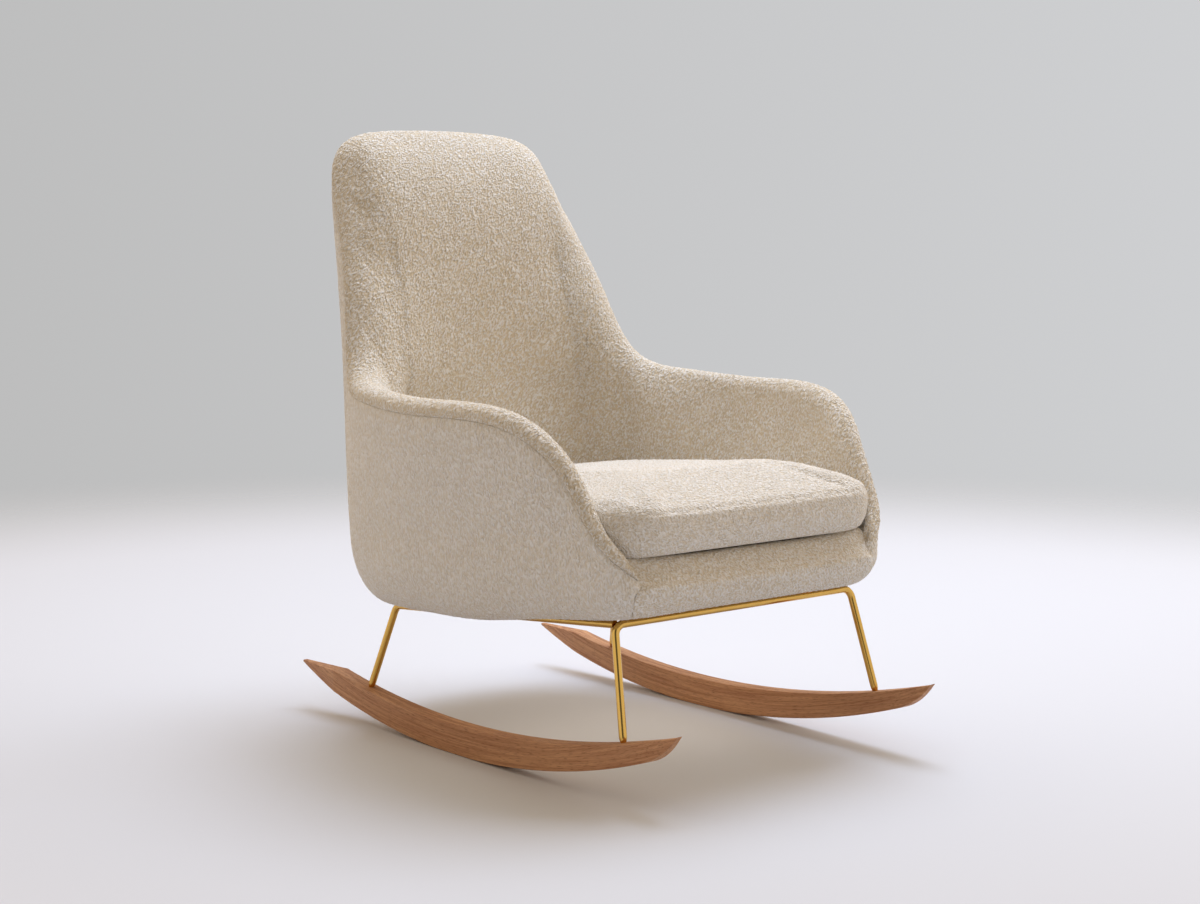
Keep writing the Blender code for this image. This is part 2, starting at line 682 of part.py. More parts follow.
class Bucket:
    """The bucket's girth as a closed ring of sections."""

    def __init__(self):
        half = rim_stations()
        ring = half + [self.mirrored(station) for station in reversed(half[1:-1])]
        crests = np.array([station[0] for station in ring])
        steps = np.linalg.norm(np.roll(crests, -1, axis=0) - crests, axis=1)
        self.knots = np.concatenate([[0.0], np.cumsum(np.sqrt(steps))])
        rows = [[*crest, *belly, *deck, rim] for crest, belly, deck, rim in ring]
        self.spline = RingSpline(self.knots, rows)
        self.count = len(ring)
        self.total = self.knots[-1]

    @staticmethod
    def mirrored(station):
        (x, y, z), (belly_x, belly_y), (deck_x, deck_y), rim = station
        return (-x, y, z), (-belly_x, belly_y), (-deck_x, deck_y), rim

    def place(self, station, share=0.0):
        span = self.knots[station + 1] - self.knots[station]
        return self.knots[station] + span * share

    def section(self, place):
        row = self.spline.at(place)
        step = self.total * 1e-4
        tangent = self.spline.at(place + step)[:3] - self.spline.at(place - step)[:3]
        tangent = tangent / np.linalg.norm(tangent)
        return Section(row[0:3], row[3:5], row[5:7], row[7], tangent)

    def shell_sections(self):
        """From the left front corner round the back to the right front corner."""
        first = self.place(APRON_STATION) - self.total
        places = [-(self.total + first)]
        for station in range(APRON_STATION - 1, -1, -1):
            places.append(-self.place(station, 0.5))
            places.append(-self.place(station))
        back = len(places)
        places += [-place for place in reversed(places[: back - 1])]
        places[0] += self.seam_step()
        places[-1] -= self.seam_step()
        return [self.section(place) for place in places]

    def seam_step(self):
        """How far along the ring the two sides of the corner seam stand from each other, halved."""
        return self.total * 1.5e-4

    def apron_sections(self):
        """From the left front corner to the right one. The hidden pieces start at the second section."""
        first = self.place(APRON_STATION) + self.seam_step()
        second = first + self.seam_step() * 7
        middle = self.place(APRON_STATION + 2)
        places = [first, second, self.place(APRON_STATION, 0.5), self.place(APRON_STATION + 1), middle]
        places += [2 * middle - place for place in reversed(places[:-1])]
        return [self.section(place) for place in places]

    def deck_outline(self, sections, inset):
        """The deck's outline in plan, set in from the wall."""
        points = []
        for section in sections:
            corner = section.outside[0]
            inward = corner - section.outside[1]
            inward = inward / np.linalg.norm(inward)
            points.append((corner[0] + inward[0] * inset, corner[1] + inward[1] * inset))
        return points


def loft_mesh(name, sections, second_runs_down=False):
    """A solid through sections of two sides each, whose points run round the wall from outside to inside.

    Every strip is split along the same diagonal seen from either face, so that layers lie flat on each other.
    """
    shape = bmesh.new()
    rings = []
    for first, second in sections:
        points = list(first) + list(reversed(list(second)))
        rings.append([shape.verts.new(Vector(point)) for point in points])
    around = len(rings[0])
    half = around // 2
    for ring, follow in zip(rings, rings[1:]):
        for place in range(around):
            other = (place + 1) % around
            rising = place < half or second_runs_down
            if rising:
                shape.faces.new((ring[place], ring[other], follow[other]))
                shape.faces.new((ring[place], follow[other], follow[place]))
            else:
                shape.faces.new((ring[place], ring[other], follow[place]))
                shape.faces.new((ring[other], follow[other], follow[place]))
    for ring in (rings[0], rings[-1]):
        for place in range(half - 1):
            opposite = around - 1 - place
            shape.faces.new((ring[place], ring[place + 1], ring[opposite]))
            shape.faces.new((ring[place + 1], ring[opposite - 1], ring[opposite]))
    return finish_mesh(shape, name)


def outer_cover_sides(section):
    return section.outside, section.sunk(1, COVER_THICKNESS)


def inner_cover_sides(section):
    crest = math.pi / 2
    angles = (SEAM_ANGLE, crest / 2, crest - CREST_SPLIT, crest + CREST_SPLIT, crest * 1.5)
    face = [section.rim_point(angle) for angle in angles]
    back = [section.rim_point(angle, COVER_THICKNESS) for angle in angles]
    return face + section.inside[::-1], back + section.sunk(-1, COVER_THICKNESS)[::-1]


def foam_sides(section, side):
    """Padding under a cover: a thin layer outside for side 1, and up to the core inside for side -1."""
    depth = COVER_THICKNESS + TOUCH_GAP
    crest = math.pi / 2
    skin = section.sunk(side, depth)
    skin += [section.rim_point(crest - side * angle, depth) for angle in (crest / 2, CREST_SPLIT)]
    back = section.core_side(side, CORE_THICKNESS / 2 + 2 * TOUCH_GAP)
    if side > 0:
        back = back[:1] + section.sunk(side, depth + OUTER_PAD)[1:5] + back[5:]
    ridge = section.core_top + section.across * side * TOUCH_GAP
    low = ridge + section.axis * CORE_THICKNESS * 0.3 + section.across * side * CORE_THICKNESS * 0.4
    high = ridge + section.axis * CORE_THICKNESS * 0.5
    back = back + [low, high]
    if side > 0:
        return skin, back
    return skin[::-1], back[::-1]


def whole_foam_sides(section):
    """Padding that wraps over the front rail in one piece, as its outer skin and its side on the rail."""
    skin_out, back_out = foam_sides(section, 1)
    skin_in, back_in = foam_sides(section, -1)
    return skin_out + skin_in, back_out + back_in


def core_sides(section):
    return section.core_side(1, CORE_THICKNESS / 2), section.core_side(-1, CORE_THICKNESS / 2)


def slab_mesh(name, outline, low, high):
    """A flat board with that outline, sheared to the seat's pitch, between two heights above its underside."""
    curve = bpy.data.curves.new(name, "CURVE")
    curve.dimensions = "2D"
    curve.fill_mode = "BOTH"
    curve.extrude = (high - low) / 2
    spline = curve.splines.new("POLY")
    spline.points.add(len(outline) - 1)
    for point, (x, y) in zip(spline.points, outline):
        point.co = (x, y, 0.0, 1.0)
    spline.use_cyclic_u = True
    mesh = mesh_from_curve(curve)
    shear = Matrix.Identity(4)
    shear[2][1] = -PITCH_SLOPE
    shear[2][3] = base_z(0.0) + (low + high) / 2
    mesh.transform(shear)
    return mesh


def build_bucket(shop):
    bucket = Bucket()
    shell = bucket.shell_sections()
    apron = bucket.apron_sections()
    inner_apron = apron[1:-1]
    pieces = (
        ("outer_cover", shell, outer_cover_sides, BOUCLE),
        ("inner_cover", shell, inner_cover_sides, BOUCLE),
        ("outer_foam", shell, lambda section: foam_sides(section, 1), FOAM),
        ("inner_foam", shell, lambda section: foam_sides(section, -1), FOAM),
        ("bucket_core", shell, core_sides, PLYWOOD),
        ("apron_cover", apron, outer_cover_sides, BOUCLE),
        ("front_band_cover", apron, inner_cover_sides, BOUCLE),
        ("apron_foam", inner_apron, whole_foam_sides, FOAM),
        ("front_rail", inner_apron, core_sides, PLYWOOD),
    )
    for name, sections, sides, finish in pieces:
        both = [sides(section) for section in sections]
        shop.piece(name, loft_mesh(name, both, second_runs_down=sides is core_sides), finish)
    return bucket, shell + apron


def build_deck(shop, bucket, sections):
    """The boards, padding and cloths that lie inside the bucket's wall, under the cushion."""
    outline = bucket.deck_outline(sections, 2 * TOUCH_GAP)
    board_low = DUST_COVER_THICKNESS + TOUCH_GAP
    board_high = board_low + SEAT_BOARD_THICKNESS
    cover_low = DECK_RISE - COVER_THICKNESS
    layers = (
        ("dust_cover", 0.0, DUST_COVER_THICKNESS, LINING),
        ("seat_base", board_low, board_high, PLYWOOD),
        ("deck_foam", board_high + TOUCH_GAP, cover_low - TOUCH_GAP, FOAM),
        ("deck_cover", cover_low, DECK_RISE, LINING),
    )
    made = {}
    for name, low, high, finish in layers:
        made[name] = shop.piece(name, slab_mesh(name, outline, low, high), finish)
    return made, board_low


# Fixings between the rods and the seat board


def pitched(x, y, height):
    """A point at a height above the bucket's underside."""
    return Vector((x, y, base_z(y) + height))


def build_fixings(shop, deck, board_low):
    normal = Vector((0.0, math.sin(SEAT_PITCH), math.cos(SEAT_PITCH)))
    half_rail = RAIL_SPACING / 2
    for side_name, side in SIDES:
        spots = (
            (f"front_{side_name}", (side * FRONT_PLATE_X, HOOP_Y), (0.0, 1.0)),
            (f"rear_{side_name}", (side * half_rail, REAR_PLATE_Y), (-side, 0.0)),
        )
        for label, (rod_x, rod_y), (inward_x, inward_y) in spots:
            middle = PLATE_LENGTH / 2 - ROD_RADIUS
            centre = pitched(rod_x + inward_x * middle, rod_y + inward_y * middle, 0.0)
            centre -= normal * (PLATE_THICKNESS / 2 + TOUCH_GAP)
            reach = PLATE_LENGTH - ROD_RADIUS - SCREW_INSET
            hole = pitched(rod_x + inward_x * reach, rod_y + inward_y * reach, 0.0)
            along_x = abs(inward_x) > 0
            size = (PLATE_LENGTH, PLATE_WIDTH) if along_x else (PLATE_WIDTH, PLATE_LENGTH)
            build_fixing(shop, deck, label, (centre, (*size, PLATE_THICKNESS)), hole, normal, board_low)


def build_fixing(shop, deck, label, plate_box, hole, normal, board_low):
    """A plate welded on a rod, the screw up through it, and the threaded insert in the seat board."""
    centre, size = plate_box
    shape = bmesh.new()
    bmesh.ops.create_cube(shape, size=1.0)
    bmesh.ops.scale(shape, vec=size, verts=shape.verts)
    turn = Matrix.Rotation(-SEAT_PITCH, 4, "X")
    bmesh.ops.transform(shape, matrix=Matrix.Translation(centre) @ turn, verts=shape.verts)
    plate = shop.piece(f"mount_plate_{label}", finish_mesh(shape, "mount_plate"), BRASS)
    below = hole - normal * (PLATE_THICKNESS * 3)
    above = hole + normal * (board_low + SEAT_BOARD_THICKNESS * 2)
    insert_low = hole + normal * (board_low + TOUCH_GAP)
    insert_high = insert_low + normal * INSERT_LENGTH
    clear_radius = SCREW_DIAMETER / 2 + TOUCH_GAP
    name = f"screw_hole_{label}"
    screw_hole = shop.cutter(name, cylinder_mesh(name, clear_radius, below, insert_low))
    name = f"insert_hole_{label}"
    pocket_low = hole + normal * (DUST_COVER_THICKNESS / 2 + board_low / 2)
    pocket_high = insert_high + normal * TOUCH_GAP
    pocket_radius = INSERT_DIAMETER / 2 + TOUCH_GAP
    insert_hole = shop.cutter(name, cylinder_mesh(name, pocket_radius, pocket_low, pocket_high))
    shop.cut(plate, [screw_hole])
    shop.cut(deck["dust_cover"], [screw_hole])
    shop.cut(deck["seat_base"], [insert_hole])
    bore = SCREW_DIAMETER / 2 + TOUCH_GAP
    profile = ((INSERT_DIAMETER / 2, 0.0), (INSERT_DIAMETER / 2, INSERT_LENGTH), (bore, INSERT_LENGTH), (bore, 0.0))
    shop.piece(f"threaded_insert_{label}", turned_mesh("threaded_insert", profile, insert_low, normal), STEEL)
    seat = hole - normal * (PLATE_THICKNESS + 2 * TOUCH_GAP)
    head = (SCREW_HEAD_DIAMETER, SCREW_HEAD_HEIGHT)
    screw = headed_bolt_mesh("plate_screw", seat, normal, head, (SCREW_DIAMETER, SCREW_LENGTH))
    shop.piece(f"plate_screw_{label}", screw, STEEL)


# Loose cushion


def cushion_outline(bucket, sections):
    """The cushion's plan as points at even steps of arc: the deck's outline set in, with a square front."""
    wall = bucket.deck_outline(sections, CUSHION_SIDE_GAP)
    rear_y = DECK_REAR_Y - CUSHION_REAR_GAP
    half_front = CUSHION_FRONT_WIDTH / 2
    sides = [(x, y) for x, y in wall if y > CUSHION_FRONT_Y + 2 * CUSHION_CORNER_RADIUS]
    left = sorted([(x, y) for x, y in sides if x >= 0], key=lambda point: point[1])
    left = [(x, min(y, rear_y)) for x, y in left]
    corner_x = half_front - CUSHION_CORNER_RADIUS
    corner_y = CUSHION_FRONT_Y + CUSHION_CORNER_RADIUS
    front = []
    for step in range(5):
        turn = math.radians(-90 + 22.5 * step)
        front.append(
            (corner_x + CUSHION_CORNER_RADIUS * math.cos(turn), corner_y + CUSHION_CORNER_RADIUS * math.sin(turn))
        )
    half = [(0.0, CUSHION_FRONT_Y)] + front + left
    if half[-1][0] > 1e-6:
        half.append((0.0, rear_y))
    mirror = [(-x, y) for x, y in reversed(half[1:-1])]
    loop = np.array(half + mirror)
    closed = np.vstack([loop, loop[:1]])
    lengths = np.concatenate([[0.0], np.cumsum(np.linalg.norm(np.diff(closed, axis=0), axis=1))])
    at = np.linspace(0.0, lengths[-1], CUSHION_COLUMNS, endpoint=False)
    return np.column_stack([np.interp(at, lengths, closed[:, axis]) for axis in range(2)])


def cushion_rings(sink):
    """The cushion's profile as (share of the outline, height) pairs, from its underside to its crown."""
    edge, crown = CUSHION_EDGE_HEIGHT, CUSHION_CROWN
    rings = [
        (0.55, 0.0), (0.90, 0.002), (0.955, edge * 0.18), (1.0, edge * 0.58), (0.985, edge * 0.88),
        (0.94, edge * 1.05), (0.84, edge + crown * 0.38), (0.64, edge + crown * 0.74), (0.36, edge + crown * 0.95),
    ]
    middle = (edge + crown) / 2
    return [(share, height + (sink if height < middle else -sink)) for share, height in rings], edge + crown - sink


def cushion_mesh(name, outline, sink):
    """The crowned cushion as rings of the outline, closed by a low and a high pole. Sink shrinks it all round."""
    centre = outline.mean(axis=0)
    rings, top = cushion_rings(sink)
    rest = TOUCH_GAP
    shape = bmesh.new()
    loops = []
    for share, height in rings:
        loop = []
        for point in outline:
            outward = point - centre
            reach = np.linalg.norm(outward)
            spot = centre + outward * (share - sink / reach)
            loop.append(shape.verts.new((spot[0], spot[1], deck_z(spot[1]) + rest + height)))
        loops.append(loop)
    count = len(outline)
    for lower, upper in zip(loops, loops[1:]):
        for place in range(count):
            other = (place + 1) % count
            shape.faces.new((lower[place], lower[other], upper[other], upper[place]))
    low = shape.verts.new((centre[0], centre[1], deck_z(centre[1]) + rest + sink))
    high = shape.verts.new((centre[0], centre[1], deck_z(centre[1]) + rest + top))
    for place in range(count):
        other = (place + 1) % count
        shape.faces.new((loops[0][other], loops[0][place], low))
        shape.faces.new((loops[-1][place], loops[-1][other], high))
    return finish_mesh(shape, name)


def box_mesh(name, low, high):
    shape = bmesh.new()
    bmesh.ops.create_cube(shape, size=1.0)
    low, high = Vector(low), Vector(high)
    bmesh.ops.scale(shape, vec=high - low, verts=shape.verts)
    bmesh.ops.translate(shape, vec=(low + high) / 2, verts=shape.verts)
    return finish_mesh(shape, name)


def build_cushion(shop, bucket, sections):
    outline = cushion_outline(bucket, sections)
    cover = shop.piece("cushion_cover", cushion_mesh("cushion_cover", outline, 0.0), BOUCLE)
    hollow = shop.cutter("cushion_hollow", cushion_mesh("cushion_hollow", outline, CUSHION_COVER_THICKNESS))
    core_sink = CUSHION_COVER_THICKNESS + TOUCH_GAP
    shop.piece("cushion_foam", cushion_mesh("cushion_foam", outline, core_sink), FOAM)
    rear = outline[:, 1].max()
    zip_z = deck_z(rear) + TOUCH_GAP + CUSHION_EDGE_HEIGHT * 0.58
    half_zip, half_width = ZIP_LENGTH / 2, ZIP_WIDTH / 2
    inner_y = rear - CUSHION_COVER_THICKNESS
    slot_low = (-half_zip, inner_y - CUSHION_COVER_THICKNESS, zip_z - half_width)
    slot_high = (half_zip, rear + ZIP_WIDTH, zip_z + half_width)
    slot = shop.cutter("zip_slot", box_mesh("zip_slot", slot_low, slot_high))
    shop.cut(cover, [hollow, slot])
    tape_low = (-half_zip + TOUCH_GAP, inner_y + TOUCH_GAP, zip_z - half_width + TOUCH_GAP)
    tape_high = (half_zip - TOUCH_GAP, rear - TOUCH_GAP, zip_z + half_width - TOUCH_GAP)
    shop.piece("zip_tape", box_mesh("zip_tape", tape_low, tape_high), LINING)
    slider_start = -half_zip + ZIP_TRAVEL_MARGIN
    slider_low = (slider_start, rear, zip_z - SLIDER_WIDTH / 2)
    slider_high = (slider_start + SLIDER_LENGTH, rear + SLIDER_DEPTH, zip_z + SLIDER_WIDTH / 2)
    shop.piece("zip_slider", box_mesh("zip_slider", slider_low, slider_high), BRASS)


def main():
    clear_scene()
    shop = Workshop()
    build_base(shop)
    bucket, sections = build_bucket(shop)
    deck, board_low = build_deck(shop, bucket, sections)
    build_fixings(shop, deck, board_low)
    build_cushion(shop, bucket, sections)


main()
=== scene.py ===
"""Upholstered rocking chair: cream bouclé bucket and cushion, bent brass rod base and oak rockers.

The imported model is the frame. Lengths are in metres, the chair faces -Y, and the sitter's left is +X.
"""

import math

import bmesh
import bpy
import numpy as np
from bpy.props import FloatProperty, FloatVectorProperty, IntProperty, PointerProperty
from mathutils import Matrix, Vector


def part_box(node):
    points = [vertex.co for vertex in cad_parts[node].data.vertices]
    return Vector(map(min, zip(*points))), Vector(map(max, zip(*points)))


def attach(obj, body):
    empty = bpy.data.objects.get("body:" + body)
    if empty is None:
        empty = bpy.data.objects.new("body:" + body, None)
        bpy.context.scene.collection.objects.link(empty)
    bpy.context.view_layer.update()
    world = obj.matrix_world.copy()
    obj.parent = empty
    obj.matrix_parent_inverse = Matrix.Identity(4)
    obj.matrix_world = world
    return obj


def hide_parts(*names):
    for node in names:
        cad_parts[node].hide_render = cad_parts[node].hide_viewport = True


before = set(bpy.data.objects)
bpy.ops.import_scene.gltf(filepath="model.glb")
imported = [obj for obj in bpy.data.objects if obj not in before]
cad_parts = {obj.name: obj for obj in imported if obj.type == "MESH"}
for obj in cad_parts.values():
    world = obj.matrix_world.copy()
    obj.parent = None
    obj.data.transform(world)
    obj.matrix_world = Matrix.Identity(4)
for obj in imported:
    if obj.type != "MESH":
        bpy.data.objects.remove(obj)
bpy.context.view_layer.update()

bl_info = {
    "name": "Upholstered Rocking Chair",
    "version": (1, 0, 0),
    "blender": (4, 5, 0),
    "location": "3D View > Sidebar > Rocking Chair",
    "description": "Dresses the packed rocking chair in bouclé, brass rod and oak",
    "category": "Object",
}


def colour(text):
    """A hex colour as seen on screen, as linear red, green and blue."""
    values = [int(text[place : place + 2], 16) / 255 for place in (1, 3, 5)]
    return tuple(v / 12.92 if v <= 0.04045 else ((v + 0.055) / 1.055) ** 2.4 for v in values)


def length(name, description, default):
    return FloatProperty(name=name, description=description, default=default, precision=4, unit="LENGTH")


def tint(name, description, default):
    shade = colour(default)
    return FloatVectorProperty(name=name, description=description, default=shade, subtype="COLOR", size=3)


def angle(name, description, default):
    return FloatProperty(name=name, description=description, default=default, unit="ROTATION")


def power(name, description, default):
    return FloatProperty(name=name, description=description, default=default, unit="POWER")


def fraction(name, description, default):
    return FloatProperty(name=name, description=description, default=default)


# Sizes and colours that a user would change


class SeatSizes(bpy.types.PropertyGroup):
    """Where the pitched seat frame lies."""

    pitch: angle("Pitch", "Slope of the seat", math.radians(5.1))
    hoop_y: length("Hoop depth", "Where the front hoop's bar lies", -0.327)
    hoop_height: length("Hoop height", "Height of the front hoop's rod axis", 0.2555)
    plate: length("Plate", "Thickness of the plates between rods and seat", 0.003)
    deck_rise: length("Deck rise", "Seat deck above the bucket's underside", 0.086)
    gap: length("Gap", "Air between pieces that touch", 0.0003)


class RockerSizes(bpy.types.PropertyGroup):
    """The two crescent rockers."""

    gauge: length("Gauge", "Distance between the rockers' middles", 0.532)
    thickness: length("Thickness", "Width across a rocker", 0.030)
    radius: length("Radius", "Arc of the underside", 1.440)
    top_radius: length("Top radius", "Arc of the top edge", 1.890)
    depth: length("Depth", "Height of a rocker at its middle", 0.047)
    contact_y: length("Contact", "Where the arc touches the floor", 0.034)
    top_low_y: length("Top's low point", "Where the top edge is lowest", 0.039)
    reach: length("Reach", "From the middle to a tip", 0.490)
    flat: length("Flat", "Level length that rests on the floor", 0.100)
    prow: length("Prow", "Length of the rounded front end", 0.068)
    rear_edge: length("Rear edge", "Thickness left at the rear tip", 0.004)
    tip_width: length("Tip width", "Width across a tip", 0.009)
    taper: length("Taper", "Length over which the front narrows", 0.080)
    ease: length("Eased edge", "Radius sanded on the long edges", 0.0016)


class RodSizes(bpy.types.PropertyGroup):
    """The bent rods of the base."""

    diameter: length("Diameter", "Rod's diameter", 0.012)
    bend: length("Bend", "Radius of a bend, to the rod's axis", 0.018)
    hoop_width: length("Hoop width", "Width of the front hoop", 0.494)
    rail_spacing: length("Rail spacing", "Distance between the side rails", 0.482)
    rear_bend_y: length("Rear bend", "Where the rails turn down", 0.242)
    front_foot_y: length("Front foot", "Where the front legs meet the rockers", -0.369)
    rear_foot_y: length("Rear foot", "Where the rear legs meet the rockers", 0.284)
    spigot: length("Spigot", "Diameter of the end in the wood", 0.008)
    spigot_length: length("Spigot length", "Length of the end in the wood", 0.012)
    spigot_taper: length("Spigot taper", "Length over which a leg narrows", 0.010)
    bolt_grip: length("Bolt grip", "Wood between a leg's end and its bolt's head", 0.014)
    bolt_recess: length("Bolt recess", "Diameter of the recess for a bolt's head", 0.0102)


class ShellSizes(bpy.types.PropertyGroup):
    """The upholstered bucket."""

    back_height: length("Back height", "Top of the back above the floor", 1.003)
    back_top_y: length("Back top", "Depth of the top of the back", 0.463)
    back_top_width: length("Back width", "Width of the top of the back", 0.370)
    root_width: length("Arm root width", "Width where the wings meet the arms", 0.606)
    root_y: length("Arm root", "Depth where the wings meet the arms", 0.258)
    root_height: length("Arm root height", "Height where the wings meet the arms", 0.606)
    arm_height: length("Arm height", "Height of the arms", 0.572)
    arm_width: length("Arm width", "Width over the arms", 0.714)
    knee_width: length("Knee width", "Width where the arms turn down", 0.636)
    knee_y: length("Knee", "Depth where the arms turn down", -0.237)
    front_width: length("Front width", "Width of the apron", 0.504)
    front_y: length("Front", "Depth of the apron's crest", -0.367)
    front_height: length("Front height", "Height of the apron's crest", 0.352)
    belly_rear_y: length("Belly rear", "Rearmost line of the outside", 0.424)
    belly_width: length("Belly width", "Widest line of the outside", 0.684)
    belly_front_y: length("Belly front", "Foremost line of the outside", -0.388)
    bulge: length("Bulge", "Swell of the outside", 0.016)
    bulge_height: length("Bulge height", "Wall height that takes the full swell", 0.200)
    sink: length("Sink", "Lean of the wall's middle line", 0.060)
    rim_turn: fraction("Rim turn", "Share of the wall's own direction in the rim", 0.8)
    deck_rear_y: length("Deck rear", "Rear edge of the seat deck", 0.272)
    deck_width: length("Deck width", "Width of the seat deck", 0.524)
    deck_front_y: length("Deck front", "Front edge of the seat deck", -0.322)
    round_width: length("Base rounding width", "Width of the rounding below", 0.078)
    round_height: length("Base rounding height", "Height of the rounding below", 0.118)
    back_rim: length("Back rim", "Thickness at the top of the back", 0.040)
    top_side_rim: length("Top side rim", "Thickness at the back's shoulders", 0.034)
    wing_rim: length("Wing rim", "Thickness of the wings' edge", 0.030)
    arm_rim: length("Arm rim", "Thickness of the arms' edge", 0.046)
    front_rim: length("Front rim", "Thickness of the apron's edge", 0.040)
    seam_angle: angle("Seam", "Turn of the rim at the outer seam", 0.07)
    sag: length("Sag", "How far the sides' padding hangs below the board", 0.0115)
    sag_y: length("Sag's place", "Where the padding hangs lowest", -0.050)
    recess: length("Recess", "How far the front band lies behind the arms' ends", 0.018)
    seam_drop: length("Seam drop", "Cross seam below the apron's shoulder", 0.009)
    seam_in: length("Seam ends in", "How far the cross seam's ends are drawn in", 0.016)
    hang: length("Hang", "How far the padding hangs below the board all round", 0.0028)
    tuck: length("Tuck", "Depth that a panel's edge turns in", 0.006)


class CushionSizes(bpy.types.PropertyGroup):
    """The loose seat cushion."""

    edge: length("Edge height", "Height of the boxed side up to the seam", 0.066)
    roll: length("Roll", "Rise of the rounded edge over the seam", 0.027)
    crown: length("Crown", "Rise of the middle over the edge", 0.004)
    front_y: length("Front", "Depth of the cushion's front", -0.384)
    front_width: length("Front width", "Width of the cushion's front", 0.552)
    corner: length("Corner", "Radius of the front corners", 0.078)
    side_gap: length("Side gap", "Air to the bucket's wall", 0.005)
    rear_gap: length("Rear gap", "Air behind the cushion", 0.016)
    swell: length("Swell", "Most that the filling pushes the cover out", 0.024)


class ClothLook(bpy.types.PropertyGroup):
    """The bouclé."""

    loop: length("Loop", "Width of a strand of the yarn", 0.0029)
    height: length("Loop height", "How far the curls stand up", 0.0018)
    tip: tint("Curl", "Colour of the curls", "#FAF8F5")
    # The ground is painted shade: the darker, warmer tone that the deep places between the curls take
    shaded_ground: tint("Shaded ground", "Colour between the curls", "#DBCDB4")
    seed: IntProperty(name="Seed", description="Start of the random pattern", default=7)


class WoodMetalLook(bpy.types.PropertyGroup):
    """The oak and the brass."""

    oak_light: tint("Light oak", "Early wood", "#CE9D74")
    oak_dark: tint("Dark oak", "Late wood", "#AA7755")
    oak_pore: tint("Oak pores", "Open pores", "#6E452C")
    brass: tint("Brass", "Polished brass", "#DDB05C")


class StageLook(bpy.types.PropertyGroup):
    """Floor, backdrop, lamps and camera."""

    floor: tint("Floor", "Floor's colour", "#D1D4DB")
    wall_dim: tint("Wall, dim side", "Backdrop at the camera's left", "#BDBDBD")
    wall_bright: tint("Wall, bright side", "Backdrop at the camera's right", "#CFD0D2")
    floor_radius: length("Floor radius", "Where the floor melts into the backdrop", 3.0)
    key: power("Key lamp", "Overhead soft box", 176.0)
    fill: fraction("Fill", "Light from all round", 0.74)
    dimming: fraction("Dimming", "How much darker the room is behind the camera", 0.66)
    side: power("Side lamp", "Soft box at the right", 26.0)
    bounce: power("Bounce", "Weak lamp below the seat", 0.55)
    camera_x: length("Camera X", "Camera's place", -2.1968)
    camera_y: length("Camera Y", "Camera's place", -2.6258)
    camera_z: length("Camera Z", "Camera's place", 0.8329)
    azimuth: angle("Azimuth", "Camera's turn", math.radians(-39.896))
    tilt: angle("Tilt", "Camera's look down", math.radians(6.129))
    lens: FloatProperty(name="Lens", description="Focal length in millimetres", default=63.0, unit="CAMERA")


GROUPS = {
    "chair_seat": SeatSizes,
    "chair_rocker": RockerSizes,
    "chair_rod": RodSizes,
    "chair_shell": ShellSizes,
    "chair_cushion": CushionSizes,
    "chair_cloth": ClothLook,
    "chair_finish": WoodMetalLook,
    "chair_stage": StageLook,
}
SIDES = (("left", 1.0), ("right", -1.0))
UP = np.array([0.0, 0.0, 1.0])


# Small helpers


def add_node(tree, kind, inputs=None, **settings):
    """Adds a node with its settings. An input takes a value, or a link where it is given a socket."""
    node = tree.nodes.new(kind)
    for name, value in settings.items():
        setattr(node, name, value)
    for key, value in (inputs or {}).items():
        if isinstance(value, bpy.types.NodeSocket):
            tree.links.new(value, node.inputs[key])
        else:
            node.inputs[key].default_value = value
    return node


def unit(vectors):
    return vectors / np.linalg.norm(vectors, axis=-1, keepdims=True)


def inner_product(first, second):
    return np.sum(first * second, axis=-1, keepdims=True)


def shown(name, mesh):
    obj = bpy.data.objects.new(name, mesh)
    bpy.context.scene.collection.objects.link(obj)
    return obj


def smooth(mesh):
    mesh.polygons.foreach_set("use_smooth", np.ones(len(mesh.polygons), dtype=bool))
    return mesh


def settle(obj):
    """Makes the evaluated object plain: its modifiers' result becomes its mesh."""
    graph = bpy.context.evaluated_depsgraph_get()
    result = obj.evaluated_get(graph)
    mesh = bpy.data.meshes.new_from_object(result, preserve_all_data_layers=True, depsgraph=graph)
    mesh.name = obj.name
    obj.modifiers.clear()
    if obj.type == "MESH":
        obj.data = mesh
        return obj
    name = obj.name
    bpy.data.objects.remove(obj, do_unlink=True)
    return shown(name, mesh)


def points_of(mesh):
    flat = np.empty(len(mesh.vertices) * 3)
    mesh.vertices.foreach_get("co", flat)
    return flat.reshape(-1, 3)


def place_points(mesh, points):
    mesh.vertices.foreach_set("co", np.asarray(points, float).ravel())
    mesh.update()


def finished(shape, name):
    bmesh.ops.recalc_face_normals(shape, faces=shape.faces)
    mesh = bpy.data.meshes.new(name)
    shape.to_mesh(mesh)
    shape.free()
    return smooth(mesh)


def lofted(name, rings):
    """A closed skin over rings of as many points each, capped at the first one and the last one."""
    shape = bmesh.new()
    loops = [[shape.verts.new(point) for point in ring] for ring in rings]
    for lower, upper in zip(loops, loops[1:]):
        for place in range(len(lower)):
            other = (place + 1) % len(lower)
            shape.faces.new((lower[place], lower[other], upper[other], upper[place]))
    shape.faces.new(loops[0][::-1])
    shape.faces.new(loops[-1])
    return shown(name, finished(shape, name))


def run_along(points):
    """Distance run along a line of points, or along each of many lines side by side."""
    steps = np.linalg.norm(np.diff(points, axis=0), axis=-1)
    return np.concatenate([np.zeros_like(steps[:1]), np.cumsum(steps, axis=0)])


def dress(obj, body, replaced, material=None):
    """Says which body a piece rides, which nodes it stands for and where its finish comes from."""
    if material is not None:
        obj.data.materials.clear()
        obj.data.materials.append(material)
    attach(obj, body)
    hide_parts(*replaced)
    return obj


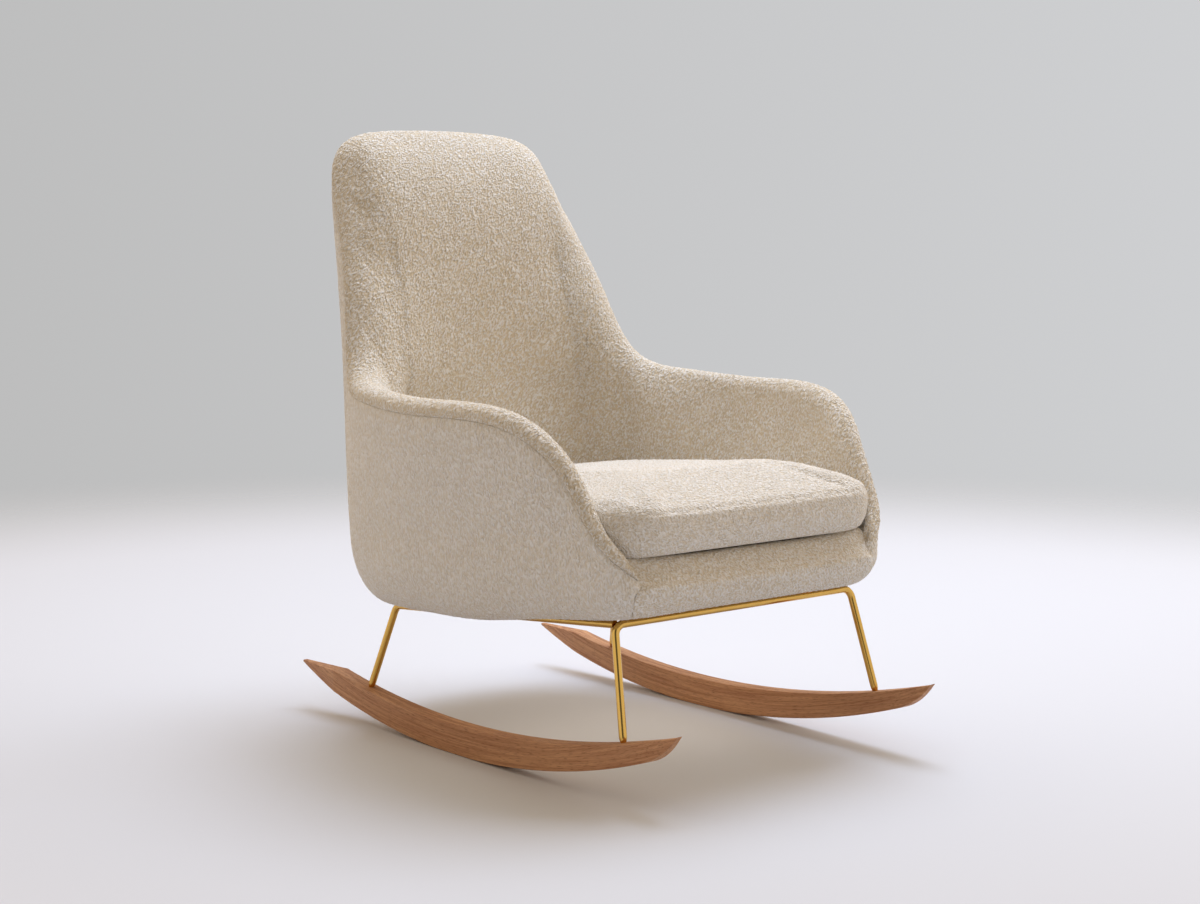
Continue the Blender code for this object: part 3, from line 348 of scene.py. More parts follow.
def group_inputs(tree, wanted):
    """Adds named inputs to a node group, and gives each name's identifier for a modifier."""
    found = {}
    tree.interface.new_socket("Geometry", in_out="INPUT", socket_type="NodeSocketGeometry")
    for name, kind, default in wanted:
        socket = tree.interface.new_socket(name, in_out="INPUT", socket_type=kind)
        if default is not None:
            socket.default_value = default
        found[name] = socket.identifier
    tree.interface.new_socket("Geometry", in_out="OUTPUT", socket_type="NodeSocketGeometry")
    return found


def close_group(tree, geometry, material):
    """Ends a node group: plain geometry with its material."""
    whole = add_node(tree, "GeometryNodeRealizeInstances", {"Geometry": geometry}).outputs["Geometry"]
    clad = add_node(tree, "GeometryNodeSetMaterial", {"Geometry": whole, "Material": material})
    add_node(tree, "NodeGroupOutput", {"Geometry": clad.outputs["Geometry"]})


def grow(obj, group, identifiers, values):
    """Runs a node group on an object and keeps the result as a plain mesh."""
    modifier = obj.modifiers.new(group.name, "NODES")
    modifier.node_group = group
    for name, value in values.items():
        modifier[identifiers[name]] = value
    return settle(obj)


# Materials


def new_material(name, roughness, metallic=0.0, ior=None):
    material = bpy.data.materials.new(name)
    material.use_nodes = True
    tree = material.node_tree
    shader = tree.nodes["Principled BSDF"]
    shader.inputs["Roughness"].default_value = roughness
    shader.inputs["Metallic"].default_value = metallic
    if ior is not None:
        shader.inputs["IOR"].default_value = ior
    return material, tree, shader


def calculated(tree, operation, *values):
    return add_node(tree, "ShaderNodeMath", dict(enumerate(values)), operation=operation).outputs[0]


def vector_of(tree, operation, *values):
    """Result of a vector operation: a vector, or a number for a length or a dot product."""
    node = add_node(tree, "ShaderNodeVectorMath", dict(enumerate(values)), operation=operation)
    return node.outputs["Value" if operation in ("LENGTH", "DOT_PRODUCT") else "Vector"]


def ranged(tree, value, low=0.0, high=1.0, to_low=0.0, to_high=1.0, **settings):
    """A number's place between two others, as a share or in another range."""
    given = {"Value": value, "From Min": low, "From Max": high, "To Min": to_low, "To Max": to_high}
    return add_node(tree, "ShaderNodeMapRange", given, **settings).outputs["Result"]


def noise(tree, place, grain, detail, roughness=0.5, distortion=0.0):
    """Cloudy noise, 0 to 1, with patches of about the grain's size."""
    given = {"Vector": place, "Scale": 1 / grain, "Detail": detail}
    given.update({"Roughness": roughness, "Distortion": distortion})
    return add_node(tree, "ShaderNodeTexNoise", given).outputs["Fac"]


def blended(tree, share, *shades):
    """A blend of two colours, each a colour or a socket."""
    first, second = (s if isinstance(s, bpy.types.NodeSocket) else (*s, 1.0) for s in shades)
    return add_node(tree, "ShaderNodeMix", {0: share, 6: first, 7: second}, data_type="RGBA").outputs[2]


def object_place(tree):
    return add_node(tree, "ShaderNodeTexCoord").outputs["Object"]


def finish_shader(tree, shader, tone, height, strength, depth, **settings):
    """Gives a shader its colour and a relief of a depth."""
    given = {"Strength": strength, "Distance": depth, "Height": height}
    bump = add_node(tree, "ShaderNodeBump", given, **settings)
    tree.links.new(tone, shader.inputs["Base Color"])
    tree.links.new(bump.outputs["Normal"], shader.inputs["Normal"])


def curl_pattern(tree, place, loop, seed):
    """Height of the yarn's curls, 0 to 1: strands of a loop's width that wander and break up."""
    start = vector_of(tree, "ADD", place, (0.37 * seed, 0.61 * seed, 0.83 * seed))
    return ranged(tree, noise(tree, start, loop, 1.0, 0.45, 0.35), 0.30, 0.70)


def boucle_material(look):
    """Wool bouclé, woven with looped yarn and brushed.

    Pale curls stand over a ground darkened by painted shade, warm like light bounced between the curls;
    nothing glints, and the fibres catch light at grazing angles.
    """
    material, tree, shader = new_material("wool_boucle", 0.94, ior=1.5)
    place = add_node(tree, "ShaderNodeAttribute", attribute_name="cloth_place").outputs["Vector"]
    # How strongly this panel shows the painted shade between its curls
    shade_strength = add_node(tree, "ShaderNodeAttribute", attribute_name="curl_shade_strength").outputs["Fac"]
    curls = curl_pattern(tree, place, look.loop, look.seed)
    # Fibres are finer than a pixel here, so they are drawn 1.3 mm wide
    fibre = noise(tree, place, 0.0013, 2.0)
    both = calculated(tree, "MULTIPLY_ADD", fibre, 0.35, curls)
    depth = calculated(tree, "SUBTRACT", 1.0, ranged(tree, both, 0.30, 1.02))
    # Patches about 90 mm wide are a little paler
    patch = noise(tree, place, 0.09, 2.0)
    shaded_ground = blended(tree, patch, look.shaded_ground, [part * 1.16 for part in look.shaded_ground])
    # Deep places between the curls take the ground's tone: painted shade, scaled by the panel's shade
    # strength
    tone = blended(tree, calculated(tree, "MULTIPLY", depth, shade_strength), look.tip, shaded_ground)
    finish_shader(tree, shader, tone, both, 1.0, 0.0024)
    shader.inputs["Sheen Weight"].default_value = 0.22
    shader.inputs["Sheen Roughness"].default_value = 0.55
    shader.inputs["Sheen Tint"].default_value = (*colour("#FFF4E2"), 1.0)
    shader.inputs["Specular IOR Level"].default_value = 0.15
    return material


def oak_material(look, sizes):
    """Oiled oak, sawn along the curve: long darker bands, and short open pores that run with the grain."""
    material, tree, shader = new_material("oiled_oak", 0.55, ior=1.5)
    shader.inputs["Specular IOR Level"].default_value = 0.25
    spoke = vector_of(tree, "SUBTRACT", object_place(tree), (0.0, sizes.contact_y, sizes.radius))
    split = add_node(tree, "ShaderNodeSeparateXYZ", {0: spoke}).outputs
    turn = calculated(tree, "ARCTAN2", split["Y"], calculated(tree, "MULTIPLY", split["Z"], -1.0))
    along = calculated(tree, "MULTIPLY", turn, sizes.radius)
    reach = vector_of(tree, "LENGTH", vector_of(tree, "MULTIPLY", spoke, (0.0, 1.0, 1.0)))
    grain = add_node(tree, "ShaderNodeCombineXYZ", {0: along, 1: reach, 2: split["X"]}).outputs[0]
    # Growth bands about 4 mm apart that run 150 mm before they wander
    bands = noise(tree, vector_of(tree, "MULTIPLY", grain, (6.0, 240.0, 150.0)), 1.0, 3.0, 0.55, 0.4)
    # Pores 0.5 mm wide and 12 mm long, drawn twice as coarse so that they show
    pores = noise(tree, vector_of(tree, "MULTIPLY", grain, (60.0, 1100.0, 1100.0)), 1.0, 1.0)
    pore = ranged(tree, pores, 0.56, 0.70)
    wood = blended(tree, ranged(tree, bands, 0.32, 0.66), look.oak_light, look.oak_dark)
    tone = blended(tree, calculated(tree, "MULTIPLY", pore, 0.6), wood, look.oak_pore)
    rough = ranged(tree, bands, to_low=0.48, to_high=0.64)
    tree.links.new(rough, shader.inputs["Roughness"])
    finish_shader(tree, shader, tone, pore, 0.35, 0.0004, invert=True)
    return material


def metal_material(name, base, roughness, streak):
    """Drawn and polished metal: tight reflections, faint streaks and slightly duller patches."""
    material, tree, shader = new_material(name, roughness, metallic=1.0)
    place = object_place(tree)
    patch = noise(tree, place, 0.03, 3.0)
    tone = blended(tree, patch, base, [part * 0.86 for part in base])
    rough = ranged(tree, patch, to_low=roughness * 0.75, to_high=roughness * 1.25)
    tree.links.new(rough, shader.inputs["Roughness"])
    # Drawing marks are far finer, so they are drawn at the streak's size
    finish_shader(tree, shader, tone, noise(tree, place, streak, 2.0), 0.05, 0.0003)
    return material


def lining_material():
    """Spun-bonded lining: a matt taupe felt of pressed fibres with a fine dimpled emboss."""
    material, tree, shader = new_material("spunbonded_lining", 0.92, ior=1.5)
    place = object_place(tree)
    dimple = add_node(tree, "ShaderNodeTexVoronoi", {"Vector": place, "Scale": 1 / 0.003, "Randomness": 0.15})
    tone = blended(tree, noise(tree, place, 0.002, 4.0), colour("#7A6850"), colour("#A08B6E"))
    finish_shader(tree, shader, tone, dimple.outputs["Distance"], 0.3, 0.0004)
    return material


def plywood_material():
    """Birch plywood: pale rotary-cut veneer with a lazy figure that runs from front to back."""
    material, tree, shader = new_material("birch_plywood", 0.58, ior=1.5)
    stretched = vector_of(tree, "MULTIPLY", object_place(tree), (60.0, 9.0, 60.0))
    figure = noise(tree, stretched, 1.0, 4.0, distortion=0.8)
    tone = blended(tree, figure, colour("#DDBE93"), colour("#B98F60"))
    finish_shader(tree, shader, tone, figure, 0.15, 0.0003)
    return material


class Finishes:
    """The materials, each made once."""

    made = {}

    @classmethod
    def get(cls, name):
        if name not in cls.made:
            scene = bpy.context.scene
            makers = {
                "boucle": lambda: boucle_material(scene.chair_cloth),
                "oak": lambda: oak_material(scene.chair_finish, scene.chair_rocker),
                "brass": lambda: metal_material("polished_brass", scene.chair_finish.brass, 0.15, 0.0012),
                "steel": lambda: metal_material("zinc_plated_steel", colour("#B4B4B2"), 0.34, 0.0008),
                "lining": lining_material,
                "plywood": plywood_material,
            }
            cls.made[name] = makers[name]()
        return cls.made[name]


# Bucket


def rod_axis_height(seat, y):
    return seat.hoop_height - math.tan(seat.pitch) * (y - seat.hoop_y)


def base_height(seat, rod, y):
    """Underside of the bucket."""
    return rod_axis_height(seat, y) + rod.diameter / 2 / math.cos(seat.pitch) + seat.plate + 2 * seat.gap


def deck_height(seat, rod, y):
    """Top of the seat deck, where the cushion lies."""
    return base_height(seat, rod, y) + seat.deck_rise


def mix(first, second, share):
    return tuple(a + (b - a) * share for a, b in zip(first, second))


def rim_stations(s):
    """Crest, belly, deck and rim at each station of half the girth, from the back to the apron."""
    top_half, root_half = s.back_top_width / 2, s.root_width / 2
    arm_half, knee_half, front_half = s.arm_width / 2, s.knee_width / 2, s.front_width / 2
    belly_half, deck_half = s.belly_width / 2, s.deck_width / 2
    top_corner = (top_half, s.back_top_y - 0.006, s.back_height - 0.018)
    top_side = (top_half + 0.033, s.back_top_y - 0.021, s.back_height - 0.050)
    root = (root_half, s.root_y, s.root_height)
    knee = (knee_half, s.knee_y, s.arm_height - 0.030)
    corner = (front_half, s.front_y + 0.005, s.front_height + 0.006)
    slope_mid = mix(knee, corner, 0.36)
    slope_low = mix(knee, corner, 0.76)
    rear, deck_rear = s.belly_rear_y, s.deck_rear_y
    return [
        ((0.0, s.back_top_y, s.back_height), (0.0, rear), (0.0, deck_rear), s.back_rim),
        (
            (top_half * 0.6, s.back_top_y - 0.001, s.back_height - 0.003),
            (0.100, rear - 0.004),
            (0.085, deck_rear - 0.001),
            s.back_rim,
        ),
        (top_corner, (0.172, rear - 0.017), (0.145, deck_rear - 0.007), s.back_rim),
        (top_side, (0.215, rear - 0.036), (0.180, deck_rear - 0.018), s.top_side_rim),
        (mix(top_side, root, 0.20), (0.250, rear - 0.062), (0.206, deck_rear - 0.034), s.wing_rim),
        (
            mix(top_side, root, 0.62),
            (belly_half - 0.059, rear - 0.110),
            (deck_half - 0.030, deck_rear - 0.068),
            s.wing_rim,
        ),
        (root, (belly_half - 0.026, rear - 0.180), (deck_half - 0.012, deck_rear - 0.120), s.arm_rim),
        (
            (arm_half - 0.018, s.root_y - 0.098, s.arm_height + 0.007),
            (belly_half - 0.006, rear - 0.280),
            (deck_half - 0.002, deck_rear - 0.200),
            s.arm_rim,
        ),
        ((arm_half, 0.010, s.arm_height), (belly_half, 0.010), (deck_half, -0.020), s.arm_rim),
        (
            (arm_half - 0.014, -0.150, s.arm_height - 0.002),
            (belly_half - 0.010, -0.130),
            (deck_half - 0.001, -0.120),
            s.arm_rim,
        ),
        (knee, (belly_half - 0.024, -0.220), (deck_half - 0.005, -0.185), s.arm_rim),
        (
            (slope_mid[0] - 0.002, slope_mid[1] - 0.012, slope_mid[2] + 0.006),
            (belly_half - 0.040, -0.290),
            (deck_half - 0.011, -0.245),
            s.arm_rim,
        ),
        (
            (slope_low[0] + 0.012, slope_low[1] - 0.010, slope_low[2] - 0.002),
            (belly_half - 0.056, -0.346),
            (deck_half - 0.020, -0.290),
            s.front_rim,
        ),
        (
            corner,
            (front_half + 0.002, s.belly_front_y + 0.007),
            (front_half - 0.034, s.deck_front_y + 0.003),
            s.front_rim,
        ),
        (
            (front_half * 0.5, s.front_y, s.front_height),
            (front_half * 0.5, s.belly_front_y),
            (front_half * 0.5, s.deck_front_y),
            s.front_rim,
        ),
        ((0.0, s.front_y, s.front_height), (0.0, s.belly_front_y), (0.0, s.deck_front_y), s.front_rim),
    ]


CORNER_STATION = 13
# At each station: how much fuller the rim is inside, the seam's turn on the rim in degrees, the rim's
# height as a share, and the turn at which the rim melts into the inside
RIM_SOFTNESS = (
    (0.010, 4.0, 1.2, 140.0),
    (0.010, 4.0, 1.2, 140.0),
    (0.014, 8.0, 1.3, 135.0),
    (0.018, 20.0, 1.4, 130.0),
    (0.022, 28.0, 1.5, 126.0),
    (0.022, 28.0, 1.5, 126.0),
    (0.014, 16.0, 1.2, 140.0),
    (0.006, 6.0, 1.0, 160.0),
    (0.002, 4.0, 1.0, 175.0),
    (0.001, 4.0, 1.0, 180.0),
    (0.000, 4.0, 1.0, 180.0),
    (-0.004, 4.0, 1.0, 180.0),
    (-0.010, 4.0, 1.0, 180.0),
    (-0.015, 4.0, 1.0, 180.0),
    (-0.015, 4.0, 1.0, 180.0),
    (-0.015, 4.0, 1.0, 180.0),
)


def bends_of(knots, rows, closed):
    """Second slopes at the knots of the smooth curve through the rows. An open curve ends straight."""
    spans = np.diff(knots)
    count = len(rows)
    system = np.zeros((count, count))
    target = np.zeros_like(rows)
    inner = range(count) if closed else range(1, count - 1)
    for row in inner:
        follow = (row + 1) % count
        before, after = spans[row - 1], spans[row]
        system[row, row - 1] += before
        system[row, row] += 2 * (before + after)
        system[row, follow] += after
        target[row] = 6 * ((rows[follow] - rows[row]) / after - (rows[row] - rows[row - 1]) / before)
    if not closed:
        system[0, 0] = system[-1, -1] = 1.0
    return np.linalg.solve(system, target)


def curve_at(knots, rows, bends, places):
    """Points of the smooth curve through the rows."""
    spans = np.diff(knots)
    row = np.clip(np.searchsorted(knots, places, side="right") - 1, 0, len(spans) - 1)
    follow = (row + 1) % len(rows)
    span = spans[row][:, None]
    after = ((places - knots[row]) / spans[row])[:, None]
    before = 1 - after
    straight = before * rows[row] + after * rows[follow]
    bend = (before**3 - before) * bends[row] + (after**3 - after) * bends[follow]
    return straight + bend * span**2 / 6


class Girth:
    """The bucket's girth: a closed smooth curve through the stations.

    The crest alone is broken at the front corners, where the arms' rims end against the apron.
    """

    def __init__(self, sizes):
        half = rim_stations(sizes)
        mirrored = [
            ((-x, y, z), (-belly_x, belly_y), (-deck_x, deck_y), rim)
            for (x, y, z), (belly_x, belly_y), (deck_x, deck_y), rim in reversed(half[1:-1])
        ]
        ring = half + mirrored
        # A row holds the crest's three values, two each of belly and deck, the rim and its softness
        self.rows = np.array([[*crest, *belly, *deck, rim] for crest, belly, deck, rim in ring])
        mirror = [*range(len(half)), *range(len(half) - 2, 0, -1)]
        soft = np.array(RIM_SOFTNESS)[mirror] * [1.0, math.pi / 180, 1.0, math.pi / 180]
        self.rows = np.hstack([self.rows, soft])
        steps = np.linalg.norm(np.roll(self.rows[:, :3], -1, axis=0) - self.rows[:, :3], axis=1)
        self.knots = np.concatenate([[0.0], np.cumsum(np.sqrt(steps))])
        self.total = self.knots[-1]
        self.corner = self.knots[CORNER_STATION]
        self.bends = bends_of(self.knots, self.rows, True)
        count = len(ring)
        turned = np.arange(-CORNER_STATION, CORNER_STATION + 1)
        self.shell = (self.knots[turned % count] - self.total * (turned < 0), self.rows[turned % count, :3])
        turned = np.arange(CORNER_STATION, count - CORNER_STATION + 1)
        self.apron = (self.knots[turned], self.rows[turned, :3])

    def at(self, places):
        return curve_at(self.knots, self.rows, self.bends, np.asarray(places, float) % self.total)

    def crest(self, places):
        """The crest, which ends straight at both front corners."""
        knots, rows = self.shell if np.min(places) < self.corner - 1e-9 else self.apron
        return curve_at(knots, rows, bends_of(knots, rows, False), np.asarray(places, float))

    def spread(self, first, last, spacing, edges):
        """Places between two others at an even spacing along the wall, with closer ones at the ends."""
        fine = np.linspace(first, last, 2001)
        rows = self.at(fine)
        run = run_along(np.column_stack([(rows[:, :2] + rows[:, 3:5]) / 2, rows[:, 2]]))
        return np.interp(spaced(run[-1], run[-1], spacing, edges), run, fine)


def spaced(total, usual, spacing, edges):
    """Distances along a length, with closer ones at both ends to hold a tight edge.

    The usual length gives their number, so that lengths which differ a little get as many.
    """
    count = max(2, int(round((usual - 2 * edges[-1]) / spacing)))
    inner = np.linspace(edges[-1], total - edges[-1], count + 1)
    low = [0.0, *edges[:-1]]
    return np.concatenate([low, inner, [total - edge for edge in reversed(low)]])


def near(distance, reach):
    """A share that is whole at no distance and fades out softly over a reach."""
    return np.exp(-((distance / reach) ** 2))


def eased(share):
    share = np.clip(share, 0.0, 1.0)
    return share * share * (3 - 2 * share)


class Wall:
    """The bucket's wall at many places round the girth, one row each."""

    def __init__(self, sizes, seat, rod, girth, places):
        corner_reach, corner_turn, least_lean, recess_reach = 0.03, 25, 0.35, 0.06
        sag_behind, sag_ahead, tuck_of_sag = 0.22, 0.14, 1.2
        rows = girth.at(places)
        crest, belly, deck = girth.crest(places), rows[:, 3:5], rows[:, 5:7]
        half, roll, seam, rim_height, melt = rows[:, 7:8] / 2, *(rows[:, [at]] for at in (8, 9, 10, 11))
        step = girth.total * 1e-4
        ahead, behind = (np.clip(places + side * step, places[0], places[-1]) for side in (1, -1))
        tangent = unit(girth.crest(ahead) - girth.crest(behind))
        outward = np.column_stack([belly - deck, np.zeros(len(rows))])
        width = np.linalg.norm(outward, axis=1, keepdims=True)
        outward = outward / width
        foot_out = np.column_stack([belly, base_height(seat, rod, belly[:, 1])])
        deck_in = np.column_stack([deck, deck_height(seat, rod, deck[:, 1])])
        # The rounding below never takes more than these shares of the wall
        round_height = np.minimum(sizes.round_height, 0.62 * (crest[:, 2:] - foot_out[:, 2:]))
        round_width = np.minimum(sizes.round_width, 0.80 * width)
        belly_top = foot_out + UP * round_height
        axis = unit(crest - (deck_in + belly_top) / 2 + UP * sizes.sink)
        # The rim turns square to the wall near the front corners
        corner = girth.at([girth.corner])[0, :3]
        beside = np.column_stack([np.abs(crest[:, 0]), crest[:, 1:]]) - corner
        far = np.linalg.norm(beside, axis=1, keepdims=True)
        at_corner = near(far, corner_reach)
        across = np.column_stack([tangent[:, 1], -tangent[:, 0], np.zeros(len(rows))])
        across = unit(across * np.where(inner_product(across, outward) < 0, -1.0, 1.0))
        across = across + outward * (sizes.rim_turn + corner_turn * at_corner)
        across = unit(across - inner_product(across, axis) * axis)
        lean = np.linalg.norm(np.cross(axis, tangent), axis=1, keepdims=True)
        drop = half / np.maximum(lean, least_lean) * rim_height
        self.drop = drop + (half - drop) * at_corner
        self.middle = crest - axis * self.drop
        on_apron = places[0] > girth.corner - 1e-9
        self.half, self.inner_half = half, half if on_apron else half + roll
        self.recess = sizes.recess * (0.8 + 0.2 * near(far[:, 0], recess_reach)) * on_apron
        self.axis, self.across, self.outward = axis, across, outward
        self.seam = np.full_like(seam, sizes.seam_angle) if on_apron else seam
        self.melt = np.minimum(melt, math.pi)
        # The padding hangs a little all round, and most along the sides
        from_sag = belly[:, 1:] - sizes.sag_y
        sag = near(from_sag, np.where(from_sag > 0, sag_behind, sag_ahead))
        sag = sizes.hang + (sizes.sag - sizes.hang) * sag
        self.edge_width = round_width - tuck_of_sag * sag
        self.foot_in = np.column_stack([deck, base_height(seat, rod, deck[:, 1])])
        self.foot_edge = foot_out - outward * self.edge_width
        self.foot_edge[:, 2] = base_height(seat, rod, self.foot_edge[:, 1]) - sag[:, 0]
        self.foot_out, self.belly_top, self.round_height = foot_out, belly_top, round_height
        self.shoulder_out = self.rim_point(0.0)
        self.shoulder_in = self.rim_point(math.pi)
        deck_in[:, 2] = np.minimum(deck_in[:, 2], self.shoulder_in[:, 2] - seat.gap)
        self.deck_in = deck_in
        rise = self.shoulder_out[:, 2:] - belly_top[:, 2:]
        self.bulge = sizes.bulge * np.minimum(1.0, rise / sizes.bulge_height)

    def rim_point(self, angle):
        """A point of the rounded rim: 0 is the outer shoulder, a half turn is the inner one."""
        half = np.where(np.cos(angle) < 0, self.inner_half, self.half)
        return self.middle + self.across * half * np.cos(angle) + self.axis * self.drop * np.sin(angle)

    def outside(self):
        """The outside from the underside up to the seam, closely sampled."""
        line = []
        for share in np.linspace(0, 0.94, 10):
            spot = self.foot_in + (self.foot_edge - self.foot_in) * share
            spot[:, 2] += (self.foot_edge[:, 2] - self.foot_in[:, 2]) * (eased(share) - share)
            line.append(spot)
        settled = self.foot_edge[:, 2:] - self.foot_out[:, 2:]
        for turn in np.linspace(0.0, math.pi / 2, 40)[:-1]:
            inset = self.outward * self.edge_width * (1 - math.sin(turn))
            lift = UP * (self.round_height * (1 - math.cos(turn)) + settled * math.cos(turn) ** 2)
            line.append(self.foot_out - inset + lift)
        reach = np.linalg.norm(self.shoulder_out - self.belly_top, axis=1, keepdims=True) / 3
        first = self.belly_top + UP * reach + self.outward * self.bulge * 0.67
        second = self.shoulder_out - self.axis * reach + self.outward * self.bulge * 0.67
        for share in np.linspace(0.0, 1.0, 90):
            line.append(cubic(self.belly_top, first, second, self.shoulder_out, share))
        line += [self.rim_point(self.seam * share) for share in np.linspace(0.0, 1.0, 12)[1:]]
        return np.array(line)

    def inside(self):
        """Over the rim from the seam and down the inside to the deck, closely sampled."""
        turns = [self.seam + (self.melt - self.seam) * share for share in np.linspace(0.0, 1.0, 60)[:-1]]
        line = [self.rim_point(turn) for turn in turns]
        start = self.rim_point(self.melt)
        reach = np.linalg.norm(self.deck_in - start, axis=1, keepdims=True) / 3
        onward = self.axis * self.drop * np.cos(self.melt) - self.across * self.inner_half * np.sin(self.melt)
        first = start + unit(onward) * reach * (0.35 - 0.65 * np.cos(self.melt))
        second = self.deck_in + unit(start - self.deck_in) * reach
        for share in np.linspace(0.0, 1.0, 90):
            line.append(cubic(start, first, second, self.deck_in, share))
        line = self.filled_back(np.array(line))
        run = run_along(line)
        line[:, :, 1] += self.recess * eased(run / 0.008) * (1 - eased(run / run[-1] * 2 - 1))
        return line

    @staticmethod
    def filled_back(line):
        """Fills the hollows behind the wings, so that the back runs in one easy curve from side to side."""
        lowest, highest, filled_from, fade = 0.52, 0.97, 0.53, 0.08
        if np.max(line[:, :, 2]) < highest:
            return line
        columns = line.shape[1]
        tops = np.argmax(line[:, :, 2], axis=0)
        levels = np.linspace(lowest, highest, 61)
        x, y = np.full((2, len(levels), columns), np.nan)
        for column in range(columns):
            down = line[tops[column] :, column][::-1]
            met = levels < down[-1, 2]
            x[met, column] = np.interp(levels[met], down[:, 2], down[:, 0])
            y[met, column] = np.interp(levels[met], down[:, 2], down[:, 1])
        push = np.zeros_like(y)
        for number, level in enumerate(levels):
            side = np.flatnonzero(x[number] > 0)
            side = side[np.argsort(x[number, side])]
            out = np.maximum.accumulate(x[number, side] + 1e-7 * np.arange(len(side)))
            bridge = wing_to_wing(out, y[number, side], level)
            met = ~np.isnan(x[number])
            front = np.interp(np.abs(x[number, met]), out, bridge)
            push[number, met] = eased((level - filled_from) / fade) * (front - y[number, met])
        for _ in range(4):
            push[1:-1] = 0.25 * push[:-2] + 0.5 * push[1:-1] + 0.25 * push[2:]
        for column in range(columns):
            down = line[tops[column] :, column]
            down[:, 1] += np.interp(down[:, 2], levels, push[:, column], left=0.0, right=0.0)
        return line


def wing_to_wing(out, depth, level):
    """Half a level cut of the back, from its middle to its edge.

    Low down it is a bow as far as the wing, and high up a bow with one round turn at the edge.
    """
    wing_near, wing_far, turn_width, turn_from, fade = 0.198, 0.262, 0.086, 0.66, 0.08
    middle = depth[0]
    slope = np.gradient(depth, out)
    apart = np.abs(slope - 2 * (depth - middle) / np.maximum(out, 0.05))
    apart[(out < wing_near) | (out > wing_far)] = np.inf
    wing = int(np.argmin(apart))
    bowed = np.isfinite(apart[wing]) and depth[wing] < middle
    bow = middle + (depth[wing] - middle) * (out / out[wing]) ** 2 if bowed else np.full_like(out, middle)
    low = np.where(out < out[wing], np.minimum(bow, depth), depth) if bowed else depth
    turn = np.clip(1 - (out[-1] - out) / turn_width, 0.0, 1.0)
    high = bow + (depth[-1] - bow[-1]) * (1 - np.sqrt(1 - turn**2.6))
    return low + (high - low) * eased((level - turn_from) / fade)


def cubic(first, second, third, last, share):
    rest = 1 - share
    return first * rest**3 + second * 3 * share * rest**2 + third * 3 * share**2 * rest + last * share**3


def resampled(line, spacing, edges):
    """A closely sampled profile at as many rows for every place, even, with closer ones at its ends."""
    runs = run_along(line)
    usual = np.median(runs[-1])
    result = []
    for place in range(line.shape[1]):
        run = runs[:, place]
        stops = spaced(run[-1], usual, spacing, edges)
        result.append(np.column_stack([np.interp(stops, run, line[:, place, axis]) for axis in range(3)]))
    return np.swapaxes(np.array(result), 0, 1)


def grid_normals(grid, outward):
    down = np.gradient(grid, axis=0)
    sideways = np.gradient(grid, axis=1)
    normals = unit(np.cross(down, sideways))
    middle = normals[len(grid) // 2]
    return normals if np.sum(middle * outward) > 0 else -normals


def from_seams(face, sewn_row):
    """How far each point of a panel lies from its seams: one long border and both ends."""
    down = run_along(face)
    along = run_along(face.swapaxes(0, 1)).T
    long = np.abs(down - down[sewn_row])
    return np.minimum(long, np.minimum(along, along[:, -1:] - along))


def sewn_lower(face, seam, sizes):
    """Draws the cloth near the cross seam down, and at the seam's ends also in towards the middle."""
    away = np.linalg.norm(face[:, :, None] - seam, axis=3)
    spot = seam[np.argmin(away, axis=2)]
    close = near(np.min(away, axis=2), 0.020)
    end = near(np.max(seam[:, 0]) - np.abs(spot[:, :, 0]), 0.04)
    drawn = face.copy()
    drawn[:, :, 0] -= np.sign(spot[:, :, 0]) * close * end * sizes.seam_in
    drawn[:, :, 2] -= close * (1 + 0.3 * end) * sizes.seam_drop
    return drawn


def padded_panel(name, face, outward, depth, sewn_row, end_depth, stride=6):
    """A closed padded panel: the shown face, a plainer back sunk by a depth, and turned-in edges.

    The panel may be deeper at its ends. The end seams fade out towards the underside.
    """
    fade_height, fade_rise, seam_reach, pile_reach = 0.285, 0.025, 0.0045, 0.004
    rows = len(face)
    normals = grid_normals(face, outward)
    far = from_seams(face, sewn_row)
    drawn = 0.10 + 0.90 * eased((face[:, :, 2] - fade_height) / fade_rise)
    face = face - normals * (0.55 * depth * drawn * near(far, seam_reach))[:, :, None]
    tall = 1 - drawn * near(far, pile_reach)
    picks = list(range(0, rows - 1, stride)) + [rows - 1]
    columns = np.arange(face.shape[1])
    deep = depth + (end_depth - depth) * near(np.minimum(columns, columns[::-1]), 4)
    back = face[picks] - normals[picks] * deep[:, None]
    shape = bmesh.new()
    show = shape.verts.layers.float.new("show")
    front_rows = [[shape.verts.new(point) for point in row] for row in face]
    back_rows = [[shape.verts.new(point) for point in row] for row in back]
    for row, heights in zip(front_rows, tall):
        for vertex, height in zip(row, heights):
            vertex[show] = height
    ring = front_rows + back_rows[::-1]
    for lower, upper in zip(ring, ring[1:] + ring[:1]):
        for place in range(len(lower) - 1):
            shape.faces.new((lower[place], lower[place + 1], upper[place + 1], upper[place]))
    for end in (0, -1):
        for number, (first, last) in enumerate(zip(picks, picks[1:])):
            edge = [front_rows[row][end] for row in range(first, last + 1)]
            shape.faces.new(edge + [back_rows[number + 1][end], back_rows[number][end]])
    return shown(name, finished(shape, name))


